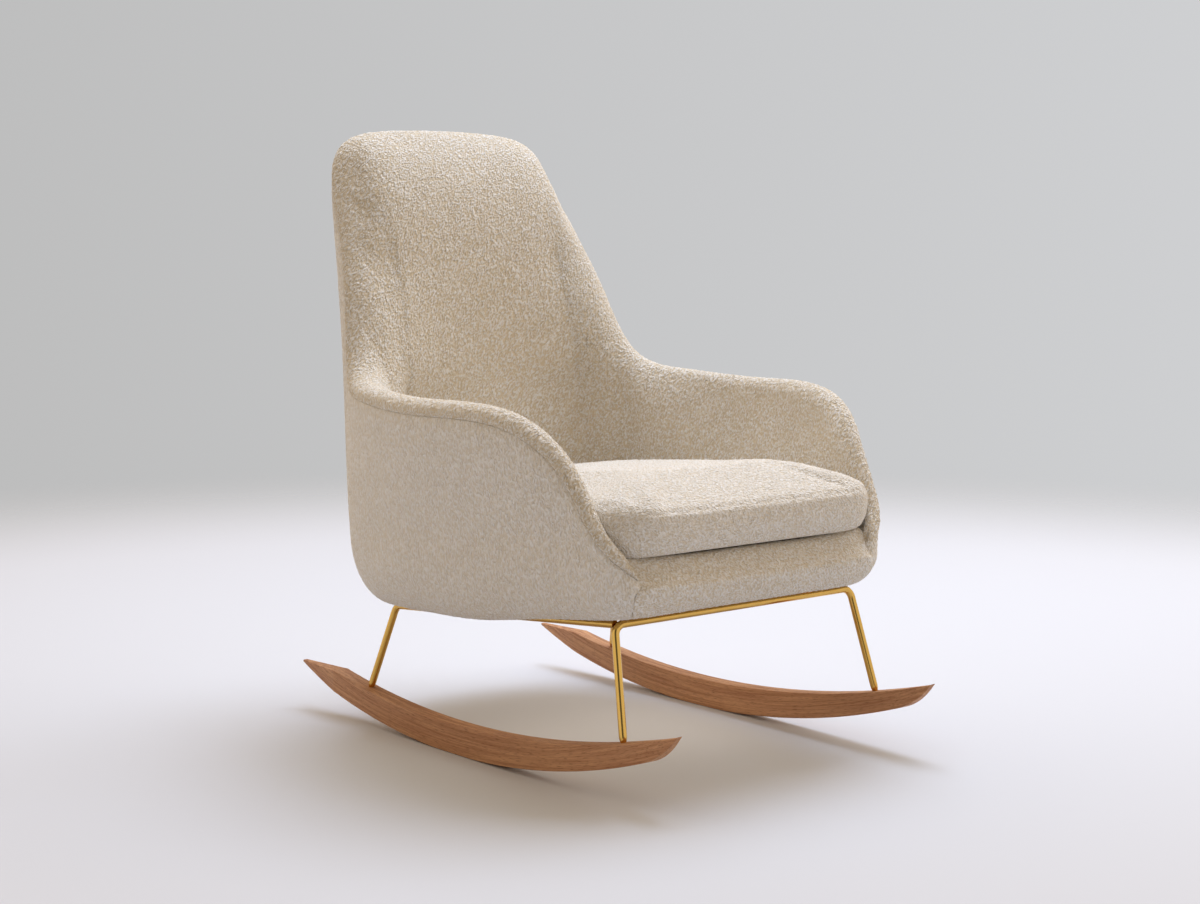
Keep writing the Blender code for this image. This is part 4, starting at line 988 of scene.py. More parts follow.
class Nap:
    """The node group that raises the cloth's curls, and keeps each point's place on the flat cloth."""

    group = None
    identifiers = {}

    @classmethod
    def make(cls):
        tree = bpy.data.node_groups.new("boucle_nap", "GeometryNodeTree")
        cls.identifiers = group_inputs(
            tree,
            (
                ("Levels", "NodeSocketInt", 2),
                ("Curl Height", "NodeSocketFloat", 0.0014),
                ("Lean", "NodeSocketFloat", 0.0),
                ("Stretch", "NodeSocketFloat", 0.6),
                ("Contrast", "NodeSocketFloat", 1.0),
                ("Material", "NodeSocketMaterial", None),
            ),
        )
        look = bpy.context.scene.chair_cloth
        given = add_node(tree, "NodeGroupInput").outputs
        finer = {"Mesh": given["Geometry"], "Level": given["Levels"]}
        kept = add_node(tree, "GeometryNodeSubdivisionSurface", finer).outputs["Mesh"]
        position = add_node(tree, "GeometryNodeInputPosition").outputs[0]
        lean = {"Vector": position, "Angle": given["Lean"]}
        turned = add_node(tree, "ShaderNodeVectorRotate", lean, rotation_type="Y_AXIS").outputs[0]
        long = add_node(tree, "ShaderNodeCombineXYZ", {0: 1.0, 1: 1.0, 2: given["Stretch"]}).outputs[0]
        place = vector_of(tree, "MULTIPLY", turned, long)
        stored = (("cloth_place", "FLOAT_VECTOR", place), ("curl_shade_strength", "FLOAT", given["Contrast"]))
        for name, kind, value in stored:
            kept = add_node(
                tree,
                "GeometryNodeStoreNamedAttribute",
                {"Geometry": kept, "Name": name, "Value": value},
                data_type=kind,
                domain="POINT",
            ).outputs["Geometry"]
        own = cls.attribute(tree, "cloth_place", "FLOAT_VECTOR")
        curls = curl_pattern(tree, own, look.loop * 1.3, look.seed)
        lift = calculated(tree, "SUBTRACT", curls, 0.5)
        masked = calculated(tree, "MULTIPLY", lift, cls.attribute(tree, "show", "FLOAT"))
        tall = calculated(tree, "MULTIPLY", masked, given["Curl Height"])
        normal = add_node(tree, "GeometryNodeInputNormal").outputs[0]
        offset = add_node(tree, "ShaderNodeVectorMath", {0: normal, "Scale": tall}, operation="SCALE")
        moved = add_node(tree, "GeometryNodeSetPosition", {"Geometry": kept, "Offset": offset.outputs[0]})
        soft = add_node(tree, "GeometryNodeSetShadeSmooth", {"Geometry": moved.outputs["Geometry"]})
        close_group(tree, soft.outputs["Geometry"], given["Material"])
        cls.group = tree

    @staticmethod
    def attribute(tree, name, kind):
        node = add_node(tree, "GeometryNodeInputNamedAttribute", {"Name": name}, data_type=kind)
        return node.outputs["Attribute"]

    @classmethod
    def raise_on(cls, obj, levels, height, lie):
        """Raises curls of a height. The yarn's lie is its lean from upright and its squeeze; its third value
        is how strong the painted shade between the curls is.
        """
        if cls.group is None:
            cls.make()
        values = {
            "Levels": levels,
            "Curl Height": height,
            "Lean": lie[0],
            "Stretch": lie[1],
            "Contrast": lie[2],
            "Material": Finishes.get("boucle"),
        }
        return grow(obj, cls.group, cls.identifiers, values)


class CHAIR_OT_upholster_bucket(bpy.types.Operator):
    """Makes the bouclé panels of the bucket: outside, inside with its rolled rim, apron and front band"""

    bl_idname = "chair.upholster_bucket"
    bl_label = "Upholster Bucket"

    def execute(self, context):
        scene = context.scene
        sizes, seat, rod, look = scene.chair_shell, scene.chair_seat, scene.chair_rod, scene.chair_cloth
        girth = Girth(sizes)
        # Rows and columns this near to a border hold its tight edge
        edges = (0.0014, 0.0042)
        shell = girth.spread(-girth.corner, girth.corner, 0.0095, edges)
        apron = girth.spread(girth.corner, girth.total - girth.corner, 0.0085, edges)
        # The yarn's lie on a panel: lean from upright, squeeze that way, and strength of the painted shade
        # between the curls, higher where light grazes the panel
        upright, slanted, raked = (0.0, 0.5, 0.60), (-0.70, 0.6, 1.25), (0.75, 0.6, 0.9)
        # Each panel: places, side, spacing of its rows, lie, share of the curls' height, nodes
        panels = (
            ("outer_panel", shell, "outside", 0.0105, upright, 0.70, ("outer_cover", "outer_foam")),
            ("inner_panel", shell, "inside", 0.0090, slanted, 1.00, ("inner_cover", "inner_foam")),
            ("apron_panel", apron, "outside", 0.0085, raked, 0.80, ("apron_cover", "apron_foam")),
            ("front_band", apron, "inside", 0.0085, raked, 0.80, ("front_band_cover",)),
        )
        front = Wall(sizes, seat, rod, girth, apron)
        cross_seam = front.rim_point(front.seam)
        for name, places, side, spacing, lie, height, nodes in panels:
            wall = Wall(sizes, seat, rod, girth, places)
            face = resampled(wall.outside() if side == "outside" else wall.inside(), spacing, edges)
            face = sewn_lower(face, cross_seam, sizes)
            outward = wall.outward if side == "outside" else -wall.outward
            end_depth = sizes.tuck + (sizes.recess if name == "inner_panel" else 0.0)
            panel = padded_panel(name, face, outward, sizes.tuck, -1 if side == "outside" else 0, end_depth)
            panel = Nap.raise_on(panel, 2, look.height * height, lie)
            dress(panel, "chair", nodes)
        return {"FINISHED"}


# Loose cushion


def cushion_outline(context, count=160):
    """The cushion's plan: the deck's outline set in, with a square front and round corners, evenly spaced."""
    scene = context.scene
    s, shell = scene.chair_cushion, scene.chair_shell
    girth = Girth(shell)
    rows = girth.at(np.linspace(0.0, girth.corner, 200))
    deck, belly = rows[:, 5:7], rows[:, 3:5]
    inward = unit(deck - belly)
    wall = deck + inward * s.side_gap
    rear_y = shell.deck_rear_y - s.rear_gap
    sides = [(x, min(y, rear_y)) for x, y in wall if y > s.front_y + 2 * s.corner]
    sides = sorted(sides, key=lambda point: (point[1], -point[0]))
    middle_x, middle_y = s.front_width / 2 - s.corner, s.front_y + s.corner
    turns = [math.radians(-90 + 10 * step) for step in range(10)]
    front = [(middle_x + s.corner * math.cos(turn), middle_y + s.corner * math.sin(turn)) for turn in turns]
    half = [(0.0, s.front_y)] + front + sides
    loop = np.array(half + [(-x, y) for x, y in reversed(half[1:]) if x > 1e-6])
    closed = np.vstack([loop, loop[:1]])
    run = run_along(closed)
    at = np.linspace(0.0, run[-1], count, endpoint=False)
    return np.column_stack([np.interp(at, run, closed[:, axis]) for axis in range(2)])


def cushion_blank(context):
    """The boxed cushion before it is filled, a little smaller than it ends up."""
    scene = context.scene
    s, seat, rod = scene.chair_cushion, scene.chair_seat, scene.chair_rod
    outline = cushion_outline(context)
    centre = outline.mean(axis=0)
    rest = 0.0008
    edge, roll, crown = s.edge, s.roll, s.crown
    shoulder = edge + roll
    # Each ring's share of the outline and its height
    profile = (
        (0.50, 0.0), (0.91, 0.0), (0.955, 0.001), (0.980, 0.010), (0.994, edge * 0.42), (1.0, edge * 0.72),
        (0.994, edge), (0.980, edge + roll * 0.40), (0.950, edge + roll * 0.78), (0.905, shoulder),
        (0.84, shoulder + crown * 0.42), (0.70, shoulder + crown * 0.74), (0.48, shoulder + crown * 0.94),
        (0.22, shoulder + crown),
    )
    rings = []
    for share, height in profile:
        spots = centre + (outline - centre) * share
        rings.append([(x, y, deck_height(seat, rod, y) + rest + height) for x, y in spots])
    blank = lofted("seat_cushion", rings)
    remesh = blank.modifiers.new("even_mesh", "REMESH")
    remesh.mode = "VOXEL"
    remesh.voxel_size = 0.005
    return settle(blank)


def relaxed(mesh, rounds, share):
    """Moves each point part of the way to the mean of its neighbours, a number of times."""
    points = points_of(mesh)
    ends = np.empty(len(mesh.edges) * 2, dtype=np.int64)
    mesh.edges.foreach_get("vertices", ends)
    ends = ends.reshape(-1, 2)
    counts = np.bincount(ends.ravel(), minlength=len(points))[:, None]
    for _ in range(rounds):
        sums = np.zeros_like(points)
        np.add.at(sums, ends[:, 0], points[ends[:, 1]])
        np.add.at(sums, ends[:, 1], points[ends[:, 0]])
        points = points + (sums / counts - points) * share
    return points


def fill_cushion(cushion, most):
    """Blows the cover out with Blender's cloth, its seams held, and caps how far any point moves."""
    scene = bpy.context.scene
    before = points_of(cushion.data)
    cloth = cushion.modifiers.new("filling", "CLOTH")
    settings = cloth.settings
    settings.use_pressure = True
    settings.uniform_pressure_force = 4.0
    settings.effector_weights.gravity = 0.0
    settings.quality = 6
    settings.vertex_group_mass = "seams"
    cloth.collision_settings.use_collision = False
    cloth.point_cache.frame_start = 1
    cloth.point_cache.frame_end = 20
    for number in range(1, 21):
        scene.frame_set(number)
    settle(cushion)
    scene.frame_set(1)
    move = points_of(cushion.data) - before
    far = np.linalg.norm(move, axis=1, keepdims=True)
    move = move * np.minimum(1.0, most / np.maximum(far, 1e-9))
    place_points(cushion.data, before + move)


class CHAIR_OT_sew_cushion(bpy.types.Operator):
    """Makes the loose seat cushion: a boxed cover, filled by cloth simulation, with its seams drawn in"""

    bl_idname = "chair.sew_cushion"
    bl_label = "Sew Cushion"

    def execute(self, context):
        scene = context.scene
        s, seat, rod, look = scene.chair_cushion, scene.chair_seat, scene.chair_rod, scene.chair_cloth
        cushion = cushion_blank(context)
        place_points(cushion.data, relaxed(cushion.data, 8, 0.5))
        self.hold_seams(context, cushion)
        fill_cushion(cushion, s.swell)
        points = relaxed(cushion.data, 3, 0.4)
        low = deck_height(seat, rod, points[:, 1]) + 0.0006
        points[:, 2] = np.maximum(points[:, 2], low)
        points[:, 1] = np.minimum(points[:, 1], scene.chair_shell.deck_rear_y - s.rear_gap - 0.001)
        points = self.draw_seams(context, cushion, points)
        place_points(cushion.data, points)
        cushion.vertex_groups.clear()
        smooth(cushion.data)
        show = cushion.data.attributes.new("show", "FLOAT", "POINT")
        show.data.foreach_set("value", np.clip((self.above_deck(context, points) - 0.003) / 0.006, 0.0, 1.0))
        # Lean, squeeze, and strength of the painted shade between the curls
        cushion = Nap.raise_on(cushion, 1, look.height * 0.8, (0.9, 0.65, 0.75))
        dress(cushion, "cushion", ("cushion_cover", "cushion_foam"))
        return {"FINISHED"}

    @staticmethod
    def above_deck(context, points):
        scene = context.scene
        return points[:, 2] - deck_height(scene.chair_seat, scene.chair_rod, points[:, 1])

    def hold_seams(self, context, cushion):
        """Pins the top seam and the underside for the cloth."""
        points = points_of(cushion.data)
        height = self.above_deck(context, points)
        sewn = np.abs(height - context.scene.chair_cushion.edge) < 0.0030
        held = (self.rim_share(context, points) > 0.90) & sewn | (height < 0.003)
        group = cushion.vertex_groups.new(name="seams")
        for index, firm in zip(np.flatnonzero(held), self.seam_share(points)[held]):
            group.add([int(index)], float(firm), "REPLACE")

    @staticmethod
    def seam_share(points):
        """How firmly the top seam is drawn: fully, but less than half at the round front corners."""
        aside = eased((np.abs(points[:, 0]) - 0.185) / 0.05)
        forward = eased((-0.24 - points[:, 1]) / 0.05)
        return 1 - 0.55 * aside * forward

    @staticmethod
    def rim_share(context, points):
        """How far out each point lies, as a share of the outline in its own direction."""
        outline = cushion_outline(context)
        centre = outline.mean(axis=0)
        turn = np.arctan2(outline[:, 1] - centre[1], outline[:, 0] - centre[0])
        order = np.argsort(turn)
        turn = np.concatenate([turn[order] + whole * 2 * math.pi for whole in (-1, 0, 1)])
        reach = np.tile(np.linalg.norm(outline - centre, axis=1)[order], 3)
        own = np.arctan2(points[:, 1] - centre[1], points[:, 0] - centre[0])
        return np.linalg.norm(points[:, :2] - centre, axis=1) / np.interp(own, turn, reach)

    def draw_seams(self, context, cushion, points):
        """Draws the cover in along the top seam of the boxed side."""
        seam_depth, seam_reach = 0.0035, 0.0035
        height = self.above_deck(context, points)
        at_rim = self.rim_share(context, points) > 0.85
        depth = seam_depth * near(height - context.scene.chair_cushion.edge, seam_reach) * at_rim
        normals = np.empty(len(points) * 3)
        cushion.data.vertices.foreach_get("normal", normals)
        return points - normals.reshape(-1, 3) * (depth * self.seam_share(points))[:, None]


# Seat deck and dust cover


def deck_plan(context, inset):
    girth = Girth(context.scene.chair_shell)
    rows = girth.at(np.linspace(0.0, girth.total, 260, endpoint=False))
    inward = unit(rows[:, 5:7] - rows[:, 3:5])
    return rows[:, 5:7] + inward * inset


def slab(name, plan, low, high, ease):
    """A soft board between two height functions, its edges eased by a small radius."""
    centre = plan.mean(axis=0)
    reach = np.linalg.norm(plan - centre, axis=1)[:, None]

    def ring(spots, height, drop=0.0):
        return [(x, y, height(y) + drop) for x, y in spots]

    def shrunk(share):
        return centre + (plan - centre) * share

    rings = [ring(shrunk(share), low) for share in (0.15, 0.6)]
    rings += [ring(plan, low), ring(plan, high, -ease)]
    rings.append(ring(plan + (centre - plan) / reach * ease, high))
    rings += [ring(shrunk(share), high) for share in (0.75, 0.45, 0.15)]
    return lofted(name, rings)


class CHAIR_OT_lay_deck(bpy.types.Operator):
    """Makes the padded deck under the cushion and the dust cover below the seat board"""

    bl_idname = "chair.lay_deck"
    bl_label = "Lay Deck"

    def execute(self, context):
        seat, rod = context.scene.chair_seat, context.scene.chair_rod
        board_top, cloth, set_in, cloth_set_in = 0.0206, 0.002, 0.0012, 0.0006

        def base(y):
            return base_height(seat, rod, y)

        deck = slab(
            "seat_deck",
            deck_plan(context, set_in),
            lambda y: base(y) + board_top,
            lambda y: base(y) + seat.deck_rise,
            0.003,
        )
        dress(deck, "chair", ("deck_cover", "deck_foam"), Finishes.get("lining"))
        plan = deck_plan(context, cloth_set_in)
        dust = slab("dust_cloth", plan, base, lambda y: base(y) + cloth, cloth / 4)
        dress(dust, "chair", ("dust_cover",), Finishes.get("lining"))
        return {"FINISHED"}


# Rods


def rounded_path(corners, radius, steps):
    """Straight runs through the corners, joined by arcs of one bend radius."""
    corners = [Vector(corner) for corner in corners]
    path = [corners[0]]
    for before, corner, after in zip(corners, corners[1:], corners[2:]):
        inward = (before - corner).normalized()
        outward = (after - corner).normalized()
        half = inward.angle(outward) / 2
        trim = radius / math.tan(half)
        centre = corner + (inward + outward).normalized() * radius / math.sin(half)
        first = corner + inward * trim - centre
        last = corner + outward * trim - centre
        turn = first.angle(last)
        for step in range(steps + 1):
            share = step / steps
            weight_first = math.sin((1 - share) * turn) / math.sin(turn)
            weight_last = math.sin(share * turn) / math.sin(turn)
            path.append(centre + first * weight_first + last * weight_last)
    path.append(corners[-1])
    return path


def rocker_top_height(s, y):
    reach = y - s.top_low_y
    return s.depth + s.top_radius - np.sqrt(s.top_radius**2 - reach**2)


class RodMaker:
    """The node group that gives a path its round rod."""

    group = None
    identifiers = {}

    @classmethod
    def make(cls):
        tree = bpy.data.node_groups.new("bent_rod", "GeometryNodeTree")
        cls.identifiers = group_inputs(
            tree,
            (
                ("Diameter", "NodeSocketFloat", 0.012),
                ("Sides", "NodeSocketInt", 32),
                ("Material", "NodeSocketMaterial", None),
            ),
        )
        given = add_node(tree, "NodeGroupInput").outputs
        half = calculated(tree, "MULTIPLY", given["Diameter"], 0.5)
        round_section = {"Resolution": given["Sides"], "Radius": half}
        ring = add_node(tree, "GeometryNodeCurvePrimitiveCircle", round_section)
        tube = add_node(
            tree,
            "GeometryNodeCurveToMesh",
            {
                "Curve": given["Geometry"],
                "Profile Curve": ring.outputs["Curve"],
                "Scale": add_node(tree, "GeometryNodeInputRadius").outputs[0],
                "Fill Caps": True,
            },
        )
        soft = add_node(tree, "GeometryNodeSetShadeSmooth", {"Geometry": tube.outputs["Mesh"]})
        close_group(tree, soft.outputs["Geometry"], given["Material"])
        cls.group = tree

    @classmethod
    def bend(cls, name, points, diameter):
        """A rod along points of (place, share of the radius)."""
        if cls.group is None:
            cls.make()
        curve = bpy.data.curves.new(name, "CURVE")
        curve.dimensions = "3D"
        spline = curve.splines.new("POLY")
        spline.points.add(len(points) - 1)
        for point, (place, share) in zip(spline.points, points):
            point.co = (*place, 1.0)
            point.radius = share
        holder = shown(name, curve)
        values = {"Diameter": diameter, "Sides": 32, "Material": Finishes.get("brass")}
        return grow(holder, cls.group, cls.identifiers, values)


class CHAIR_OT_bend_rods(bpy.types.Operator):
    """Bends the front hoop and the two side rods, with legs that narrow where they enter the rockers"""

    bl_idname = "chair.bend_rods"
    bl_label = "Bend Rods"

    def execute(self, context):
        scene = context.scene
        seat, rod, rocker = scene.chair_seat, scene.chair_rod, scene.chair_rocker
        half_hoop, half_rail = rod.hoop_width / 2, rod.rail_spacing / 2
        rail_front = seat.hoop_y + rod.diameter / 2 + 2 * seat.gap
        front_ends = {}
        for side_name, side in SIDES:
            bend = Vector((side * half_rail, rod.rear_bend_y, rod_axis_height(seat, rod.rear_bend_y)))
            start = Vector((side * half_rail, rail_front, rod_axis_height(seat, rail_front)))
            end = self.leg_end(rod, rocker, side, bend, rod.rear_foot_y)
            path = rounded_path([start, bend, end], rod.bend, 16)
            points = [(place, 1.0) for place in path[:-1]] + self.foot(rod, path[-2], path[-1])
            piece = RodMaker.bend(f"rear_leg_rod_{side_name}", points, rod.diameter)
            dress(piece, "chair", (f"side_rod_{side_name}",))
            top = Vector((side * half_hoop, seat.hoop_y, seat.hoop_height))
            front_ends[side_name] = (top, self.leg_end(rod, rocker, side, top, rod.front_foot_y))
        left_top, left_end = front_ends["left"]
        right_top, right_end = front_ends["right"]
        path = rounded_path([left_end, left_top, right_top, right_end], rod.bend, 16)
        points = self.foot(rod, path[1], path[0])[::-1]
        points += [(place, 1.0) for place in path[1:-1]]
        points += self.foot(rod, path[-2], path[-1])
        hoop = RodMaker.bend("hoop_rod", points, rod.diameter)
        dress(hoop, "chair", ("front_hoop",))
        return {"FINISHED"}

    @staticmethod
    def leg_end(rod, rocker, side, bend, foot_y):
        foot = Vector((side * rocker.gauge / 2, foot_y, float(rocker_top_height(rocker, foot_y))))
        return foot + (foot - bend).normalized() * rod.spigot_length

    @staticmethod
    def foot(rod, inner, end):
        """The last stretch of a leg, which narrows softly to its spigot."""
        along = (end - inner).normalized()
        slim = rod.spigot / rod.diameter
        points = []
        for step in range(7):
            share = step / 6
            place = end - along * (rod.spigot_length + rod.spigot_taper * (1 - share))
            points.append((place, 1 - (1 - slim) * share * share))
        return points + [(end, slim)]


# Rockers


class CHAIR_OT_shape_rockers(bpy.types.Operator):
    """Shapes the oak rockers: arcs, prow, level rear cut, eased edges and the bolt heads' recesses"""

    bl_idname = "chair.shape_rockers"
    bl_label = "Shape Rockers"

    def execute(self, context):
        for side_name, side in SIDES:
            rocker = self.shaped(context, side_name, side)
            dress(rocker, "chair", (f"rocker_{side_name}",), Finishes.get("oak"))
        return {"FINISHED"}

    def profile(self, s):
        """Depths along a rocker with the heights of its underside and its top."""
        rear, front = s.reach, -s.reach
        lift = s.radius * (1 - math.cos(s.flat / 2 / s.radius))
        prow_end = front + s.prow

        def arc(y):
            return np.maximum(s.radius - np.sqrt(s.radius**2 - (y - s.contact_y) ** 2) - lift, 0.0)

        start = np.array([prow_end, arc(prow_end)])
        tip = np.array([front, rocker_top_height(s, front)])
        slope = (prow_end - s.contact_y) / s.radius
        bend = np.array([front + s.prow * 0.40, start[1] - slope * s.prow * 0.60])
        shares = np.linspace(0, 1, 60)[:, None]
        nose = start * (1 - shares) ** 2 + bend * 2 * shares * (1 - shares) + tip * shares**2
        cut = arc(rear) + s.rear_edge
        shoulder = s.top_low_y + math.sqrt(2 * s.top_radius * (cut - s.depth))
        depths = np.unique(
            np.concatenate(
                [
                    front + s.prow * np.linspace(0.004, 1, 40) ** 1.6,
                    np.linspace(prow_end, shoulder - 0.0006, 90),
                    [shoulder],
                    np.linspace(shoulder + 0.0006, rear, 14),
                ]
            )
        )
        under = np.where(depths < prow_end, np.interp(depths, nose[::-1, 0], nose[::-1, 1]), arc(depths))
        top = np.where(depths < shoulder, rocker_top_height(s, depths), cut)
        rear_past = (depths - shoulder) / (rear - shoulder)
        front_past = 1 - (depths - front) / s.taper
        past = np.clip(np.maximum(rear_past, front_past), 0.0, 1.0)
        half = s.thickness / 2 * (1 + (s.tip_width / s.thickness - 1) * past)
        return depths, under, np.maximum(top, under + 0.0006), half

    def shaped(self, context, side_name, side):
        scene = context.scene
        s = scene.chair_rocker
        middle = side * s.gauge / 2
        rings = []
        for y, low, high, half in zip(*self.profile(s)):
            ease = min(s.ease, (high - low) * 0.45, half * 0.45)
            ring = []
            for corner_x, corner_z, first in ((1, 1, 0), (-1, 1, 90), (-1, -1, 180), (1, -1, 270)):
                x, z = corner_x * (half - ease), (high - ease if corner_z > 0 else low + ease)
                turns = [math.radians(first + 22.5 * step) for step in range(5)]
                spots = [np.array((x + ease * math.cos(turn), z + ease * math.sin(turn))) for turn in turns]
                # A close neighbour on each flat keeps the flat's shading level
                lead, trail = (0.3 * ease * np.array(way) for way in self.flat_ways(first))
                spots = [spots[0] + lead, *spots, spots[-1] + trail]
                ring += [(middle + spot[0], y, spot[1]) for spot in spots]
            rings.append(ring)
        rocker = lofted(f"oak_rocker_{side_name}", rings)
        rocker = self.recessed(scene, rocker, side)
        rocker.data.set_sharp_from_angle(angle=math.radians(40))
        return rocker

    @staticmethod
    def recessed(scene, rocker, side):
        """Cuts the two recesses of the bolts' heads from below."""
        seat, rod, s = scene.chair_seat, scene.chair_rod, scene.chair_rocker
        hoop_top = Vector((side * rod.hoop_width / 2, seat.hoop_y, seat.hoop_height))
        bend_height = rod_axis_height(seat, rod.rear_bend_y)
        rear_bend = Vector((side * rod.rail_spacing / 2, rod.rear_bend_y, bend_height))
        shape = bmesh.new()
        for bend, foot_y in ((hoop_top, rod.front_foot_y), (rear_bend, rod.rear_foot_y)):
            end = CHAIR_OT_bend_rods.leg_end(rod, s, side, bend, foot_y)
            along = (end - bend).normalized()
            middle = end + along * (rod.bolt_grip + s.depth / 2)
            turn = along.to_track_quat("Z", "Y").to_matrix().to_4x4()
            bmesh.ops.create_cone(
                shape,
                cap_ends=True,
                segments=32,
                radius1=rod.bolt_recess / 2,
                radius2=rod.bolt_recess / 2,
                depth=s.depth,
                matrix=Matrix.Translation(middle) @ turn,
            )
        cutter = shown("bolt_recesses", finished(shape, "bolt_recesses"))
        cut = rocker.modifiers.new("recesses", "BOOLEAN")
        cut.operation = "DIFFERENCE"
        cut.solver = "EXACT"
        cut.object = cutter
        rocker = settle(rocker)
        bpy.data.objects.remove(cutter)
        return rocker

    @staticmethod
    def flat_ways(first):
        """Ways along the flats before and after an eased corner, across and up."""
        return {
            0: ((0, -1), (-1, 0)),
            90: ((1, 0), (0, -1)),
            180: ((0, 1), (1, 0)),
            270: ((-1, 0), (0, 1)),
        }[first]


# Zip


class CHAIR_OT_fit_zip(bpy.types.Operator):
    """Makes the cushion's zip: a woven tape with a row of teeth, and a slider with its pull"""

    bl_idname = "chair.fit_zip"
    bl_label = "Fit Zip"

    def execute(self, context):
        low, high = (np.array(corner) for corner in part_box("zip_tape"))
        tape = self.tape(low, high)
        dress(tape, "cushion", ("zip_tape",), Finishes.get("lining"))
        teeth = self.teeth(low, high)
        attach(teeth, "cushion")
        low, high = (np.array(corner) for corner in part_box("zip_slider"))
        slider = self.slider(low, high)
        dress(slider, "slider", ("zip_slider",), Finishes.get("brass"))
        return {"FINISHED"}

    @staticmethod
    def tape(low, high):
        """A tape with a bead along its middle, where the teeth sit."""
        middle, half = (low[2] + high[2]) / 2, (high[2] - low[2]) / 2
        # Places across the tape and how far the face dips there
        bead = ((-1.0, 0.4), (-0.9, 0.0), (-0.2, 0.0), (-0.1, -0.25))
        across = bead + tuple((-at, dip) for at, dip in reversed(bead))
        rings = []
        for x in np.linspace(low[0], high[0], 61):
            ring = [(x, high[1] - 0.0012 * dip - 0.0006, middle + half * at) for at, dip in across]
            ring += [(x, low[1] + 0.0004, middle + half * at) for at, _ in reversed(across)]
            rings.append(ring)
        return lofted("zip_tape_woven", rings)

    @staticmethod
    def teeth(low, high):
        """Teeth at a pitch of 2 mm along the tape's middle, laid by a node group."""
        tree = bpy.data.node_groups.new("zip_teeth", "GeometryNodeTree")
        identifiers = group_inputs(
            tree,
            (
                ("Count", "NodeSocketInt", 140),
                ("Pitch", "NodeSocketFloat", 0.002),
                ("Tooth", "NodeSocketVector", (0.0012, 0.0010, 0.0034)),
                ("Start", "NodeSocketVector", (0.0, 0.0, 0.0)),
                ("Material", "NodeSocketMaterial", None),
            ),
        )
        given = add_node(tree, "NodeGroupInput").outputs
        step = add_node(tree, "ShaderNodeCombineXYZ", {0: given["Pitch"]}).outputs[0]
        row = {"Count": given["Count"], "Start Location": given["Start"], "Offset": step}
        line = add_node(tree, "GeometryNodeMeshLine", row).outputs["Mesh"]
        tooth = add_node(tree, "GeometryNodeMeshCube", {"Size": given["Tooth"], "Vertices Z": 3})
        every = {"Points": line, "Instance": tooth.outputs["Mesh"]}
        rows = add_node(tree, "GeometryNodeInstanceOnPoints", every)
        close_group(tree, rows.outputs["Instances"], given["Material"])
        pitch, margin = 0.002, 0.004
        count = int((high[0] - low[0] - 2 * margin) / pitch)
        start = (low[0] + margin, high[1] - 0.0004, (low[2] + high[2]) / 2)
        holder = shown("zip_teeth", bpy.data.meshes.new("zip_teeth"))
        values = {"Count": count, "Pitch": pitch, "Start": start, "Material": Finishes.get("brass")}
        return grow(holder, tree, identifiers, values)

    @staticmethod
    def slider(low, high):
        """A waisted slider body, and a pull that lies on it."""
        shape = bmesh.new()
        size, middle = high - low, (low + high) / 2

        def placed(spot, stretch, shift):
            return Vector([part * length for part, length in zip(spot, stretch)]) + Vector(shift)

        bmesh.ops.create_cube(shape, size=1.0)
        bmesh.ops.subdivide_edges(shape, edges=shape.edges[:], cuts=3, use_grid_fill=True)
        body = (middle[0], low[1] + size[1] * 0.30, middle[2])
        for vertex in shape.verts:
            waist = 1 - 0.22 * (1 - (2 * vertex.co.x) ** 2)
            vertex.co = placed(vertex.co, (size[0], size[1] * 0.55, size[2] * waist), body)
        pull = (middle[0] + size[0] * 0.02, low[1] + size[1] * 0.80, middle[2])
        for vertex in bmesh.ops.create_cube(shape, size=1.0)["verts"]:
            taper = 0.56 if vertex.co.x > 0 else 0.80
            vertex.co = placed(vertex.co, (size[0] * 0.9, size[1] * 0.18, size[2] * taper), pull)
        bmesh.ops.bevel(shape, geom=shape.edges[:], offset=0.0002, segments=1, affect="EDGES")
        return shown("zip_slider_pull", finished(shape, "zip_slider_pull"))


# Carried-over nodes


class CHAIR_OT_finish_inside(bpy.types.Operator):
    """Gives the boards, plates, screws and bolts that stay as they are their finishes"""

    bl_idname = "chair.finish_inside"
    bl_label = "Finish Inside Parts"

    def execute(self, context):
        finishes = (
            ("plywood", ("bucket_core", "front_rail", "seat_base")),
            ("brass", ("mount_plate",)),
            ("steel", ("plate_screw", "threaded_insert", "leg_bolt")),
        )
        for finish, starts in finishes:
            for name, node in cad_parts.items():
                if name.startswith(starts):
                    for holder in node.material_slots:
                        holder.material = Finishes.get(finish)
        return {"FINISHED"}


# Stage


